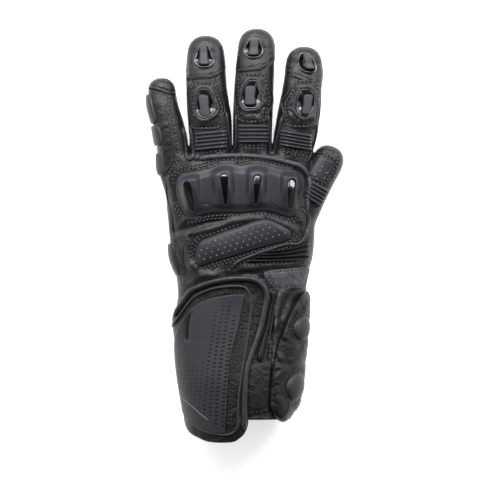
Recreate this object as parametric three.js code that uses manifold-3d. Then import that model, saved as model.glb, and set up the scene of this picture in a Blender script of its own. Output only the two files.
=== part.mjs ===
// Long-cuff leather motorcycle glove for the left hand, lying palm down as it would on a table.
// Millimetres, +Z up, +Y towards the fingertips, +X towards the thumb. The origin is under the
// middle of the palm, on the surface that the glove lies on.
import * as THREE from "three";
import { mergeVertices } from "three/addons/utils/BufferGeometryUtils.js";
import Module from "manifold-3d";

const wasm = await Module();
wasm.setup();

// Driving dimensions.
const leather = 1.8; // wall of the hand, the fingers and the thumb
const cuffWall = 2.2; // wall of the long cuff, two layers of leather
const gap = 0.3; // between a piece and the one that it is sewn or bonded to
const rootY = 60; // the seam where the fingers leave the hand
const wristY = -32; // the seam where the cuff leaves the hand
const cuffEndY = -137; // open end of the cuff
const flatten = 1.25; // how much deeper than its resting face a soft section would hang
const sideShare = 0.42; // height of the widest point, as a share of the section's height
const topRound = 2.4; // exponent of the upper half of a section: 2 is an ellipse, more is boxier
const lowRound = 2.6; // the same for the lower half
const tipRound = 2.5; // the same for a fingertip seen from above
const padThick = 2; // padded leather under a finger joint's slider
const socketThick = 3.4; // glossy socket of a slider
const barThick = 4.4; // matte bar in the socket
const guardEdge = 1.6; // thickness of the knuckle guard at its edge
const guardBase = 3.6; // and between its bumps
const bumpRise = 5.5; // how far a bump stands over the rest of the guard
const slotDepth = 1.4; // how far an insert lies below the guard's top
const flapThick = 2.6; // closing flap of the cuff
const flapPanelThick = 1.6; // smooth panel on the flap
const rollThick = 4.2; // padded roll on the thumb side of the cuff
const armourRise = 5; // how far a round armour bump stands over the roll
const foldLow = 0.8; // valley of a stretch fold
const foldHigh = 2.6; // crest of a stretch fold

const materials = {
  leather: new THREE.MeshStandardMaterial({ color: 0x3a3a3c, roughness: 0.5, metalness: 0 }),
  softLeather: new THREE.MeshStandardMaterial({ color: 0x5c5c60, roughness: 0.45, metalness: 0 }),
  mouldedShell: new THREE.MeshStandardMaterial({ color: 0x4d4d52, roughness: 0.55, metalness: 0 }),
  glossInsert: new THREE.MeshStandardMaterial({ color: 0x0c0c0d, roughness: 0.1, metalness: 0 }),
  smoothPanel: new THREE.MeshStandardMaterial({ color: 0x504e54, roughness: 0.6, metalness: 0 }),
};

// The tubes of leather. Each row is a section across the tube: y along it, x of its middle, half
// its width, and the heights of its underside and its top. A tube with a tip closes over the last
// tipLength before tipY. The thumb is laid out straight and then turned out from the hand.
const hand = {
  rows: [
    { y: -32, x: 0.3, half: 48.1, low: 0, high: 38 },
    { y: -24, x: -0.2, half: 50.7, low: 0, high: 37.5 },
    { y: -15, x: -0.3, half: 53.2, low: 0, high: 37 },
    { y: 5, x: -0.6, half: 54.8, low: 0, high: 35.5 },
    { y: 19, x: -1.6, half: 55.1, low: 0, high: 35 },
    { y: 30, x: -2.7, half: 54.9, low: 0, high: 34.5 },
    { y: 48, x: -5.7, half: 57.1, low: 0, high: 32.5 },
    { y: 60, x: -5.9, half: 57.9, low: 0, high: 30 },
  ],
};
const littleFinger = {
  rows: [
    { y: 50, x: -50.6, half: 12.3, low: 0, high: 26 },
    { y: 66, x: -52.5, half: 12, low: 0.4, high: 25.5 },
    { y: 74, x: -53.4, half: 12, low: 1.4, high: 25 },
    { y: 86, x: -56.1, half: 11.7, low: 2.5, high: 23.5 },
    { y: 98, x: -59.3, half: 11.2, low: 2.2, high: 21.5 },
    { y: 108, x: -60.8, half: 10.6, low: 0.8, high: 18.5 },
  ],
  tipY: 118,
  tipLength: 12.4,
};
const ringFinger = {
  rows: [
    { y: 50, x: -23.1, half: 15.5, low: 0, high: 31 },
    { y: 66, x: -23.6, half: 15.7, low: 0.4, high: 29.5 },
    { y: 88, x: -24.8, half: 16.5, low: 3, high: 28.5 },
    { y: 110, x: -27, half: 15.5, low: 3.5, high: 26.5 },
    { y: 122, x: -27.5, half: 15.1, low: 2.6, high: 24 },
    { y: 137, x: -27.6, half: 14, low: 0.6, high: 19.5 },
  ],
  tipY: 149.8,
  tipLength: 16.8,
};
const middleFinger = {
  rows: [
    { y: 50, x: 6.6, half: 14.6, low: 0, high: 31.5 },
    { y: 66, x: 7.2, half: 14.6, low: 0.4, high: 30 },
    { y: 97, x: 8, half: 15, low: 3.6, high: 28.5 },
    { y: 121, x: 9.1, half: 14.7, low: 3, high: 25 },
    { y: 141, x: 10.6, half: 14, low: 0.6, high: 20 },
  ],
  tipY: 155,
  tipLength: 16.5,
};
const indexFinger = {
  rows: [
    { y: 50, x: 36.4, half: 15.3, low: 0, high: 28.5 },
    { y: 65, x: 37.7, half: 15.5, low: 0.4, high: 28 },
    { y: 80, x: 40.6, half: 16.4, low: 2, high: 28 },
    { y: 98, x: 43.2, half: 15.9, low: 3.4, high: 27 },
    { y: 110, x: 44.7, half: 14.8, low: 3.4, high: 25.5 },
    { y: 122, x: 46.1, half: 14.4, low: 2.2, high: 22.5 },
    { y: 129, x: 46.2, half: 13.7, low: 0.6, high: 20 },
  ],
  tipY: 141.5,
  tipLength: 16.1,
};
const thumb = {
  rows: [
    { y: 20, x: 0, half: 13.9, low: 1.2, high: 25 },
    { y: 40, x: 0, half: 12.4, low: 1.2, high: 25 },
    { y: 60, x: 0, half: 12, low: 1.8, high: 24 },
    { y: 78, x: 0.6, half: 12.1, low: 0.6, high: 21.5 },
  ],
  tipY: 91,
  tipLength: 15,
  foot: { x: 29, y: -14.7 },
  turn: THREE.MathUtils.degToRad(-26),
};
// The cuff's surface runs on past the cuff's open end, because the closing flap overhangs it.
const cuff = {
  rows: [
    { y: -154, x: -1.8, half: 35.7, low: 0, high: 59 },
    { y: -134, x: -1.8, half: 37.9, low: 0, high: 57 },
    { y: -120, x: -1.6, half: 40.3, low: 0, high: 55 },
    { y: -109, x: -1.8, half: 41.9, low: 0, high: 53 },
    { y: -94, x: -1.9, half: 43.4, low: 0, high: 49.5 },
    { y: -79, x: -1.8, half: 44.9, low: 0, high: 46 },
    { y: -60, x: -2, half: 46.3, low: 0, high: 42 },
    { y: -45, x: -1.1, half: 46.2, low: 0, high: 39.5 },
    { y: -32, x: -0.9, half: 48.5, low: 0, high: 38 },
  ],
};

// Outlines seen from above. A row is a line across the piece: its y, and the x of both ends. rise
// is how far the right end lies ahead of the left one.
const joints = {
  ring_finger: {
    panel: [
      { y: 80, left: -38, right: -18 },
      { y: 88, left: -38.5, right: -16.5 },
      { y: 95, left: -39, right: -14 },
      { y: 101.5, left: -39.5, right: -16 },
      { y: 109, left: -39, right: -18.5 },
      { y: 115, left: -38.5, right: -19.5 },
    ],
    joint: [
      { y: 88, left: -31, right: -26 },
      { y: 92, left: -35, right: -20.5 },
      { y: 95.5, left: -35.5, right: -19 },
      { y: 101, left: -35, right: -21 },
      { y: 107, left: -34, right: -23 },
      { y: 110, left: -32, right: -26 },
    ],
    jointBar: [
      { y: 90, left: -30.5, right: -25 },
      { y: 105.5, left: -32.5, right: -26.5 },
    ],
    tip: [
      { y: 126, left: -32.5, right: -25 },
      { y: 130, left: -36.5, right: -20.5 },
      { y: 134.5, left: -35.5, right: -22 },
      { y: 140.5, left: -33.5, right: -24.5 },
      { y: 143, left: -31, right: -26 },
    ],
    tipBar: [
      { y: 128, left: -31.5, right: -26 },
      { y: 140.5, left: -32, right: -27.5 },
    ],
    folds: { from: 64.2, to: 78.3, left: -34.4, right: -12.6, rise: 2.4 },
  },
  middle_finger: {
    panel: [
      { y: 85, left: -1.5, right: 16 },
      { y: 94, left: -5, right: 20 },
      { y: 102.5, left: -5, right: 22 },
      { y: 112, left: -4.5, right: 19.5 },
      { y: 121, left: -2, right: 16 },
    ],
    joint: [
      { y: 95, left: 2.5, right: 9.5 },
      { y: 98.5, left: -1, right: 13.5 },
      { y: 102.5, left: -1.5, right: 14.5 },
      { y: 108.5, left: -0.5, right: 13.5 },
      { y: 113.5, left: 2, right: 11.5 },
      { y: 116.5, left: 5, right: 10.5 },
    ],
    jointBar: [
      { y: 97, left: 2, right: 8.5 },
      { y: 111.5, left: 2.5, right: 9 },
    ],
    tip: [
      { y: 133, left: 5, right: 11.5 },
      { y: 135.5, left: 1.5, right: 15 },
      { y: 138.5, left: 0.5, right: 16 },
      { y: 144.5, left: 3, right: 14 },
      { y: 148, left: 6.5, right: 12.5 },
    ],
    tipBar: [
      { y: 135, left: 5, right: 10 },
      { y: 146, left: 6, right: 11 },
    ],
    folds: { from: 69, to: 83.2, left: -2, right: 18.4, rise: 0 },
  },
  index_finger: {
    panel: [
      { y: 81.5, left: 34, right: 53 },
      { y: 90.5, left: 31.5, right: 57 },
      { y: 98.5, left: 30.5, right: 58 },
      { y: 107.5, left: 35.5, right: 58 },
      { y: 116, left: 40, right: 55 },
    ],
    joint: [
      { y: 89, left: 44.5, right: 50 },
      { y: 93.5, left: 40, right: 53 },
      { y: 98.5, left: 39.5, right: 54.5 },
      { y: 104.5, left: 41, right: 54.5 },
      { y: 108.5, left: 43, right: 52 },
      { y: 110, left: 44, right: 50 },
    ],
    jointBar: [
      { y: 91.5, left: 45.5, right: 50.5 },
      { y: 104.5, left: 47, right: 52.5 },
    ],
    tip: [
      { y: 122, left: 47.5, right: 54 },
      { y: 125.5, left: 42.5, right: 56 },
      { y: 130, left: 41, right: 54.5 },
      { y: 134.5, left: 42, right: 52 },
      { y: 137, left: 44, right: 49 },
    ],
    tipBar: [
      { y: 125, left: 48, right: 52.5 },
      { y: 135, left: 45, right: 49.5 },
    ],
    folds: { from: 65, to: 77.6, left: 29.5, right: 50.6, rise: -4 },
  },
};
const thumbFolds = { from: 46, to: 60, left: -2, right: 10.4, rise: -1 };
const thumbPanel = { from: 62, to: 77, left: -6, right: 6 };
const wristFolds = [
  { y: -20, left: 2.5, right: 50.5, rise: 1 },
  { y: -16.5, left: 7, right: 51, rise: 2 },
  { y: -13, left: 13, right: 51, rise: 5 },
  { y: -9, left: 21.5, right: 50.5, rise: 7 },
];
const softPanel = [
  { y: -40, left: 26.5, right: 46 },
  { y: -35.5, left: 20.5, right: 47.5 },
  { y: -30.5, left: 16.5, right: 49 },
  { y: -26, left: 17.5, right: 49.5 },
];
const flap = [
  { y: -154, left: -23, right: -8 },
  { y: -151, left: -31, right: -2 },
  { y: -147.5, left: -37, right: 1.5 },
  { y: -141.5, left: -41.5, right: 4 },
  { y: -134, left: -44, right: 4.5 },
  { y: -123.5, left: -49, right: 4 },
  { y: -102.5, left: -52, right: 5 },
  { y: -86, left: -53.5, right: 9.5 },
  { y: -74.5, left: -53.5, right: 13 },
  { y: -62, left: -52, right: 16.5 },
  { y: -54.5, left: -48.5, right: 18 },
  { y: -47.5, left: -44.5, right: 19.5 },
  { y: -41, left: -39.5, right: 18.5 },
  { y: -37, left: -32, right: 16 },
  { y: -33.5, left: -21.5, right: 12.5 },
  { y: -31, left: -8, right: 4 },
];
const flapPanel = [
  { y: -147.5, left: -21.5, right: -13 },
  { y: -144.5, left: -29.5, right: -13 },
  { y: -138.5, left: -36.5, right: -12.5 },
  { y: -131, left: -42.5, right: -12 },
  { y: -116, left: -46, right: -11 },
  { y: -93.5, left: -49, right: -9 },
  { y: -78.5, left: -49, right: -5.5 },
  { y: -67, left: -46, right: -2.5 },
  { y: -59, left: -41, right: -1 },
  { y: -53.5, left: -37, right: 0 },
  { y: -48.5, left: -29, right: 1 },
  { y: -44.5, left: -12.5, right: 1.5 },
];
const strapTongue = [
  { y: -93.5, left: 12, right: 15 },
  { y: -87.5, left: 11, right: 16.5 },
  { y: -78.5, left: 14, right: 18.5 },
  { y: -67, left: 17.5, right: 21 },
  { y: -56, left: 19.5, right: 22.5 },
  { y: -48.5, left: 21.5, right: 24 },
  { y: -41.5, left: 21, right: 26 },
];
const roll = [
  { y: -139, left: 29, right: 32 },
  { y: -137, left: 25.5, right: 35 },
  { y: -134, left: 22.5, right: 38.5 },
  { y: -129.5, left: 20.5, right: 42.5 },
  { y: -123.5, left: 20, right: 47.5 },
  { y: -102.5, left: 21.5, right: 53 },
  { y: -86, left: 25, right: 53 },
  { y: -71, left: 29, right: 56.5 },
  { y: -59.5, left: 34, right: 57.5 },
  { y: -53.5, left: 37, right: 56.5 },
  { y: -47, left: 41, right: 55 },
  { y: -41.5, left: 45.5, right: 55 },
];
// Here a row is a line along the piece: its x, and the y of both ends.
const guard = [
  { x: -49.5, low: 31, high: 38.5 },
  { x: -45.5, low: 20, high: 45.5 },
  { x: -41, low: 14, high: 47 },
  { x: -32, low: 15, high: 49 },
  { x: -23, low: 17, high: 51 },
  { x: -15.5, low: 17, high: 54.5 },
  { x: -7, low: 17, high: 54.5 },
  { x: -2, low: 17, high: 52 },
  { x: 7, low: 17.5, high: 54 },
  { x: 14.5, low: 19, high: 53.5 },
  { x: 22, low: 17.5, high: 52 },
  { x: 31, low: 14, high: 49 },
  { x: 37, low: 14, high: 49 },
  { x: 42.5, low: 19, high: 47 },
  { x: 46.5, low: 32, high: 41 },
];
const backPad = [
  { x: -34, low: -21, high: -11 },
  { x: -30.5, low: -21.5, high: -4 },
  { x: -24.5, low: -20, high: -1.5 },
  { x: -13, low: -17, high: 2.5 },
  { x: -2, low: -14, high: 6.5 },
  { x: 9.5, low: -10.5, high: 11 },
  { x: 18.5, low: -8, high: 12 },
  { x: 24.5, low: -6, high: 10 },
  { x: 32, low: -3.5, high: 6 },
  { x: 36, low: -1.5, high: 2 },
];
// The guard's bumps: x of the crest at its upper and its lower end, and half the crest's width.
const bumps = [
  { upperX: -41.5, lowerX: -38, half: 8.5 },
  { upperX: -15.5, lowerX: -12, half: 8 },
  { upperX: 11, lowerX: 9.5, half: 7.5 },
  { upperX: 37, lowerX: 35, half: 8 },
];
// The drop-shaped slots in the bumps: the round end, the point, and the width of the round end.
const slots = [
  { x: -41.2, y: 37.5, pointX: -37, pointY: 17.5, width: 5.6 },
  { x: -13.8, y: 43.5, pointX: -12.5, pointY: 22.5, width: 5.8 },
  { x: 11.2, y: 42.8, pointX: 9.9, pointY: 23, width: 5.6 },
  { x: 37, y: 39.5, pointX: 35.4, pointY: 19.8, width: 6 },
];
// Hard pads along the outer edge. from and to are the angles round the section, in degrees.
const edgePads = {
  edge_pad_fingertip: { tube: littleFinger, from: 150, to: 205, low: 83.5, high: 106.5, thick: 2.4 },
  edge_pad_finger_middle: { tube: littleFinger, from: 140, to: 205, low: 67, high: 82.6, thick: 2.6 },
  edge_pad_finger_root: { tube: hand, from: 158, to: 195, low: 44.6, high: 59.4, thick: 2.2 },
  edge_pad_hand: { tube: hand, from: 160, to: 196, low: -31.4, high: -5.6, thick: 2.6 },
};
// Round armour bumps on the roll: middle, and half their size across and along the cuff.
const armour = {
  armour_bump_upper: { angle: 32, y: -69.4, across: 12, along: 9.4 },
  armour_bump_lower: { angle: 30, y: -112.9, across: 13, along: 10.6 },
};
// Raised welts and piping, as points of the plan, with the cord's radius.
const knuckleWelt = {
  radius: 1.3,
  points: [
    { x: -32, y: 57.5 },
    { x: -17, y: 59 },
    { x: 5.5, y: 59.5 },
    { x: 20.5, y: 57.5 },
    { x: 32, y: 55 },
    { x: 41, y: 53 },
    { x: 46, y: 49 },
    { x: 49, y: 43 },
    { x: 50, y: 38 },
    { x: 49, y: 32 },
    { x: 48, y: 26.5 },
    { x: 48, y: 20 },
  ],
};
const wristWelt = {
  radius: 1.3,
  points: [
    { x: 48.5, y: 17 },
    { x: 49, y: 12.5 },
    { x: 48.5, y: 6.5 },
    { x: 46.5, y: -0.5 },
    { x: 44, y: -5 },
    { x: 40, y: -7 },
    { x: 32.5, y: -7 },
    { x: 19, y: -11 },
    { x: 5.5, y: -16 },
    { x: -3.5, y: -20 },
    { x: -8.5, y: -24.5 },
  ],
};
const flapPiping = {
  radius: 1.9,
  points: [
    { x: -47, y: -59 },
    { x: -45, y: -53.5 },
    { x: -42, y: -49 },
    { x: -38.5, y: -43 },
    { x: -31, y: -39 },
    { x: -20.5, y: -35.5 },
    { x: -9.5, y: -34 },
    { x: 2, y: -33.5 },
    { x: 9.5, y: -34.5 },
    { x: 14, y: -37 },
    { x: 16, y: -41 },
    { x: 17, y: -47 },
    { x: 15.5, y: -56 },
    { x: 13, y: -67 },
    { x: 11, y: -74.5 },
    { x: 7, y: -86 },
    { x: 4, y: -95 },
    { x: 2.5, y: -104 },
    { x: 1.5, y: -116 },
    { x: 1, y: -131 },
  ],
};

// Smooth reading of one column of a table whose rows run up in key.
function read(rows, column, at, key = "y") {
  const last = rows.length - 1;
  let i = rows.findIndex((row) => row[key] > at) - 1;
  if (i === -2) i = last - 1;
  i = Math.min(Math.max(i, 0), last - 1);
  const [a, b] = [rows[i], rows[i + 1]];
  const [before, after] = [rows[Math.max(i - 1, 0)], rows[Math.min(i + 2, last)]];
  const span = b[key] - a[key];
  const t = THREE.MathUtils.clamp((at - a[key]) / span, 0, 1);
  const slopeA = ((b[column] - before[column]) / (b[key] - before[key])) * span;
  const slopeB = ((after[column] - a[column]) / (after[key] - a[key])) * span;
  const [t2, t3] = [t * t, t * t * t];
  const start = a[column] * (2 * t3 - 3 * t2 + 1) + slopeA * (t3 - 2 * t2 + t);
  return start + b[column] * (3 * t2 - 2 * t3) + slopeB * (t3 - t2);
}

// The section of a tube at y, grown outwards: its middle, half width, side height and reach.
function sectionAt(tube, y, grow = 0) {
  const low = read(tube.rows, "low", y) - grow;
  const high = read(tube.rows, "high", y) + grow;
  const side = low + (high - low) * sideShare;
  let shrink = 1;
  if (tube.tipY) {
    const start = tube.tipY - tube.tipLength;
    const along = THREE.MathUtils.clamp((y - start) / (tube.tipLength + grow), 0, 1);
    shrink = (1 - along ** tipRound) ** (1 / tipRound);
  }
  return {
    x: read(tube.rows, "x", y),
    half: (read(tube.rows, "half", y) + grow) * shrink,
    side,
    up: (high - side) * shrink,
    down: (side - low) * shrink,
  };
}

const power = (value, exponent) => Math.sign(value) * Math.abs(value) ** exponent;

// A point of a tube's skin: angle 0 faces +X and a quarter turn faces up. The underside is flat.
function skinPoint(tube, angle, y, grow = 0) {
  const s = sectionAt(tube, y, grow);
  const [c, n] = [Math.cos(angle), Math.sin(angle)];
  if (n >= 0) {
    return [s.x + s.half * power(c, 2 / topRound), y, s.side + s.up * n ** (2 / topRound)];
  }
  const drop = Math.min(s.down, s.down * flatten * (-n) ** (2 / lowRound));
  return [s.x + s.half * power(c, 2 / lowRound), y, s.side - drop];
}

// The angle at which a tube's grown skin passes over x. Past the widest point it runs on underneath.
function angleAt(tube, x, y, grow = 0) {
  const s = sectionAt(tube, y, grow);
  const across = (x - s.x) / s.half;
  const over = Math.abs(across) - 1;
  const inside = Math.acos(power(THREE.MathUtils.clamp(across, -1, 1), topRound / 2));
  if (over <= 0) return inside;
  return across < 0 ? Math.PI + over * 2.5 : -over * 2.5;
}

// A closed solid from points and triangles, turned so that its faces point out.
function solidFrom(points, triangles) {
  const vertProperties = new Float32Array(points.flat());
  const make = (list) => {
    return new wasm.Manifold(new wasm.Mesh({ numProp: 3, vertProperties, triVerts: new Uint32Array(list) }));
  };
  const made = make(triangles.flat());
  return made.volume() > 0 ? made : make(triangles.flatMap(([a, b, c]) => [a, c, b]));
}

function solidOf(geometry) {
  const bare = new THREE.BufferGeometry().setAttribute("position", geometry.getAttribute("position"));
  if (geometry.index) bare.setIndex(geometry.index);
  const merged = mergeVertices(bare, 1e-3);
  const { array } = merged.attributes.position;
  return new wasm.Manifold(
    new wasm.Mesh({ numProp: 3, vertProperties: array, triVerts: new Uint32Array(merged.index.array) }),
  );
}

function geometryOf(solid) {
  const mesh = solid.getMesh();
  const geometry = new THREE.BufferGeometry();
  geometry.setAttribute("position", new THREE.BufferAttribute(new Float32Array(mesh.vertProperties), 3));
  geometry.setIndex(new THREE.BufferAttribute(new Uint32Array(mesh.triVerts), 1));
  return geometry;
}

// Joins rings of the same count into a closed skin. A ring of one point closes that end.
function ringSkin(rings) {
  const points = [];
  const starts = rings.map((ring) => points.push(...ring) - ring.length);
  const triangles = [];
  for (let i = 0; i + 1 < rings.length; i++) {
    const [a, b] = [rings[i].length, rings[i + 1].length];
    for (let j = 0; j < Math.max(a, b); j++) {
      const [p, q] = [starts[i] + (j % a), starts[i] + ((j + 1) % a)];
      const [r, s] = [starts[i + 1] + (j % b), starts[i + 1] + ((j + 1) % b)];
      if (b > 1) triangles.push([p, r, s]);
      if (a > 1) triangles.push([p, s, q]);
    }
  }
  return solidFrom(points, triangles);
}

function middleOf(ring) {
  return [0, 1, 2].map((k) => ring.reduce((sum, point) => sum + point[k], 0) / ring.length);
}

// The thumb's pieces are made straight and then turned out from the hand.
function placed(tube, solid) {
  if (!tube.foot) return solid;
  return solid.rotate([0, 0, THREE.MathUtils.radToDeg(tube.turn)]).translate([tube.foot.x, tube.foot.y, 0]);
}

// A solid plug of a tube between two stations, grown by grow, with so many points around it.
function tubeSolid(tube, { from, to, steps, around, grow = 0 }) {
  const end = tube.tipY && to === undefined ? tube.tipY + grow : to;
  const closes = to === undefined;
  const rings = [];
  for (let i = 0; i <= steps; i++) {
    const t = i / steps;
    const y = from + (end - from) * (closes ? 1 - (1 - t) ** 1.5 : t); // closer stations over a tip
    const last = closes && i === steps;
    const angles = last ? [Math.PI / 2] : Array.from({ length: around }, (_, j) => (j / around) * 2 * Math.PI);
    rings.push(angles.map((angle) => skinPoint(tube, angle, y, grow)));
  }
  rings.unshift([middleOf(rings[0])]);
  if (!closes) rings.push([middleOf(rings.at(-1))]);
  return placed(tube, ringSkin(rings));
}

function boxSolid(low, high) {
  const size = high.map((value, k) => value - low[k]);
  const box = new THREE.BoxGeometry(...size);
  box.translate(...low.map((value, k) => value + size[k] / 2));
  return solidOf(box);
}

// Plan position at (u, v) of an outline whose rows run up in y, or across in x.
function overRows(rows) {
  return (u, v) => {
    const at = v * (rows.length - 1);
    const i = Math.min(Math.floor(at), rows.length - 2);
    const y = THREE.MathUtils.lerp(rows[i].y, rows[i + 1].y, at - i);
    const rise = rows[0].rise === undefined ? 0 : read(rows, "rise", y);
    const x = THREE.MathUtils.lerp(read(rows, "left", y), read(rows, "right", y), u);
    return [x, y + rise * (u - 0.5)];
  };
}

function overColumns(rows) {
  return (u, v) => {
    const at = u * (rows.length - 1);
    const i = Math.min(Math.floor(at), rows.length - 2);
    const x = THREE.MathUtils.lerp(rows[i].x, rows[i + 1].x, at - i);
    return [x, THREE.MathUtils.lerp(read(rows, "low", x, "x"), read(rows, "high", x, "x"), v)];
  };
}

function overBox({ left, right, from, to, rise = 0 }) {
  return (u, v) => {
    return [THREE.MathUtils.lerp(left, right, u), THREE.MathUtils.lerp(from, to, v) + rise * (u - 0.5)];
  };
}

const pillow = (t) => (1 - Math.abs(2 * t - 1) ** 4) ** 0.5; // 0 at both ends and 1 in the middle

// A sheet over a tube, from a grid of plan positions. top(u, v) is how far it stands over the skin.
// Its sides are upright, or square to the skin on a sheet that wraps round the side.
function draped(tube, { over, columns, lines, top, bottom = -1, angles, wraps }) {
  const points = [];
  const triangles = [];
  const layer = (height) => {
    const start = points.length;
    for (let j = 0; j <= lines; j++) {
      for (let i = 0; i <= columns; i++) {
        const [u, v] = [i / columns, j / lines];
        const [x, y] = over(u, v);
        const grow = height(u, v, x, y);
        let angle = angles ? x : angleAt(tube, x, y, grow);
        if (wraps) {
          const [left, right] = [over(0, v)[0], over(1, v)[0]];
          angle = THREE.MathUtils.lerp(angleAt(tube, left, y), angleAt(tube, right, y), u);
        }
        points.push(skinPoint(tube, angle, y, grow));
      }
    }
    return start;
  };
  const [low, high] = [layer(() => bottom), layer((u, v, x, y) => gap + top(u, v, x, y))];
  const at = (start, i, j) => start + j * (columns + 1) + i;
  for (let j = 0; j < lines; j++) {
    for (let i = 0; i < columns; i++) {
      for (const [start, flip] of [[high, false], [low, true]]) {
        const [a, b, c, d] = [at(start, i, j), at(start, i + 1, j), at(start, i + 1, j + 1), at(start, i, j + 1)];
        triangles.push(flip ? [a, c, b] : [a, b, c], flip ? [a, d, c] : [a, c, d]);
      }
    }
  }
  const rim = [];
  for (let i = 0; i < columns; i++) rim.push([i, 0]);
  for (let j = 0; j < lines; j++) rim.push([columns, j]);
  for (let i = columns; i > 0; i--) rim.push([i, lines]);
  for (let j = lines; j > 0; j--) rim.push([0, j]);
  rim.forEach(([i, j], k) => {
    const [m, n] = rim[(k + 1) % rim.length];
    triangles.push([at(low, i, j), at(low, m, n), at(high, m, n)], [at(low, i, j), at(high, m, n), at(high, i, j)]);
  });
  return placed(tube, solidFrom(points, triangles));
}

// The same sheet with its underside cut to the leather below it, less the gap.
function drape(tube, sheet) {
  return below.get(tube).reduce((solid, leatherBelow) => solid.subtract(leatherBelow), draped(tube, sheet));
}

// A tall prism over an outline's rows, grown outwards in the plan. It cuts a window.
function windowOver(rows, grow) {
  const over = overRows(rows);
  const count = 2 * (rows.length - 1);
  const side = (u) => Array.from({ length: count + 1 }, (_, k) => over(u, k / count));
  const [middleX, middleY] = over(0.5, 0.5);
  const outline = [...side(0), ...side(1).reverse()].map(([x, y]) => {
    return new THREE.Vector2(x + Math.sign(x - middleX) * grow, y + THREE.MathUtils.clamp(y - middleY, -grow, grow));
  });
  const prism = new THREE.ExtrudeGeometry(new THREE.Shape(outline), { depth: 90, bevelEnabled: false });
  return solidOf(prism.translate(0, 0, 10));
}

// A drop seen from above: a round end and a point.
function dropWindow({ x, y, pointX, pointY, width }, grow) {
  const toPoint = Math.atan2(pointY - y, pointX - x);
  const radius = width / 2 + grow;
  const outline = [new THREE.Vector2(pointX + 6 * grow * Math.cos(toPoint), pointY + 6 * grow * Math.sin(toPoint))];
  for (let k = 0; k <= 8; k++) {
    const angle = toPoint + THREE.MathUtils.degToRad(80 + k * 25);
    outline.push(new THREE.Vector2(x + radius * Math.cos(angle), y + radius * Math.sin(angle)));
  }
  const prism = new THREE.ExtrudeGeometry(new THREE.Shape(outline), { depth: 90, bevelEnabled: false });
  return solidOf(prism.translate(0, 0, 10));
}

// A cord that lies on a tube along points of the plan.
function cordOn(tube, { radius, points }, { segments, lift = gap, sides = 6 }) {
  const onSkin = points.map(({ x, y }) => skinPoint(tube, angleAt(tube, x, y), y, lift + radius));
  const path = new THREE.CatmullRomCurve3(onSkin.map((point) => new THREE.Vector3(...point)), false, "centripetal");
  const rings = [];
  for (let i = 0; i <= segments; i++) {
    const middle = path.getPointAt(i / segments);
    const along = path.getTangentAt(i / segments);
    const side = new THREE.Vector3(0, 0, 1).cross(along).normalize();
    const up = along.clone().cross(side);
    const ring = Array.from({ length: sides }, (_, k) => {
      const angle = ((k + 0.5) / sides) * 2 * Math.PI;
      const offset = side.clone().multiplyScalar(Math.cos(angle)).addScaledVector(up, Math.sin(angle));
      return middle.clone().addScaledVector(offset, radius).toArray();
    });
    rings.push(ring);
  }
  return ringSkin([[middleOf(rings[0])], ...rings, [middleOf(rings.at(-1))]]);
}

const fingers = {
  little_finger: littleFinger,
  ring_finger: ringFinger,
  middle_finger: middleFinger,
  index_finger: indexFinger,
};

// The outer form of each tube, and what is cut from a sheet that lies over it.
const form = {
  palm: (grow) => tubeSolid(hand, { from: wristY, to: rootY, steps: 7, around: 24, grow }),
  hand: (grow) => {
    const roots = Object.values(fingers).map((tube) => {
      return tubeSolid(tube, { from: 48, to: rootY, steps: 1, around: 14, grow });
    });
    return roots.reduce((solid, rootOfFinger) => solid.add(rootOfFinger), form.palm(grow));
  },
  cuff: (from, to, grow) => tubeSolid(cuff, { from, to, steps: 6, around: 26, grow }),
  finger: (tube, grow) => tubeSolid(tube, { from: rootY + gap, steps: 8, around: 14, grow }),
  thumb: (grow) => tubeSolid(thumb, { from: 20, steps: 7, around: 14, grow }),
};
const belowPalm = [form.hand(gap), form.cuff(cuffEndY, wristY - gap, gap)];
const below = new Map([
  [hand, belowPalm],
  [cuff, [...belowPalm, form.cuff(-154, cuffEndY, gap)]],
  [thumb, [form.thumb(gap)]],
  ...Object.values(fingers).map((tube) => [tube, [form.finger(tube, gap)]]),
]);

const root = new THREE.Group();
const largest = (solid) => solid.decompose().reduce((a, b) => (a.volume() > b.volume() ? a : b));

// Adds a piece. Slivers that a cut has left beside it are dropped.
function add(name, material, solid) {
  const mesh = new THREE.Mesh(geometryOf(largest(solid)), material);
  mesh.name = name;
  root.add(mesh);
}

// The leather of the hand and its five tubes, hollow and open into each other.
function addHand() {
  const inner = tubeSolid(hand, { from: wristY - 1, to: rootY - leather, steps: 5, around: 18, grow: -leather });
  let shell = form.hand(0).subtract(inner);
  for (const tube of Object.values(fingers)) {
    shell = shell.subtract(tubeSolid(tube, { from: rootY - 5, to: rootY + 2, steps: 1, around: 10, grow: -leather }));
  }
  const thumbHollow = tubeSolid(thumb, { from: 18, to: 58, steps: 3, around: 12, grow: -leather });
  add("hand_shell", materials.leather, shell.subtract(thumbHollow));
}

function addFinger(name, tube) {
  const inner = tubeSolid(tube, { from: rootY - 1, steps: 4, around: 10, grow: -leather });
  add(name, materials.leather, form.finger(tube, 0).subtract(inner));
}

// Room for the welts: the thumb and the stretch panels end short of them.
const weltSides = { segments: 16, sides: 5 };
function weltRoom() {
  return [knuckleWelt, wristWelt]
    .map((welt) => cordOn(hand, { ...welt, radius: welt.radius + gap }, { ...weltSides, lift: 0 }))
    .reduce((a, b) => a.add(b));
}

function addThumb() {
  const inner = tubeSolid(thumb, { from: 18, steps: 5, around: 12, grow: -leather });
  const clear = [
    form.hand(gap),
    tubeSolid(indexFinger, { from: 40, to: 100, steps: 6, around: 16, grow: gap }),
    weltRoom(),
  ];
  let shell = form.thumb(0).subtract(inner);
  for (const solid of clear) shell = shell.subtract(solid);
  add("thumb", materials.leather, shell);
}

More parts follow.
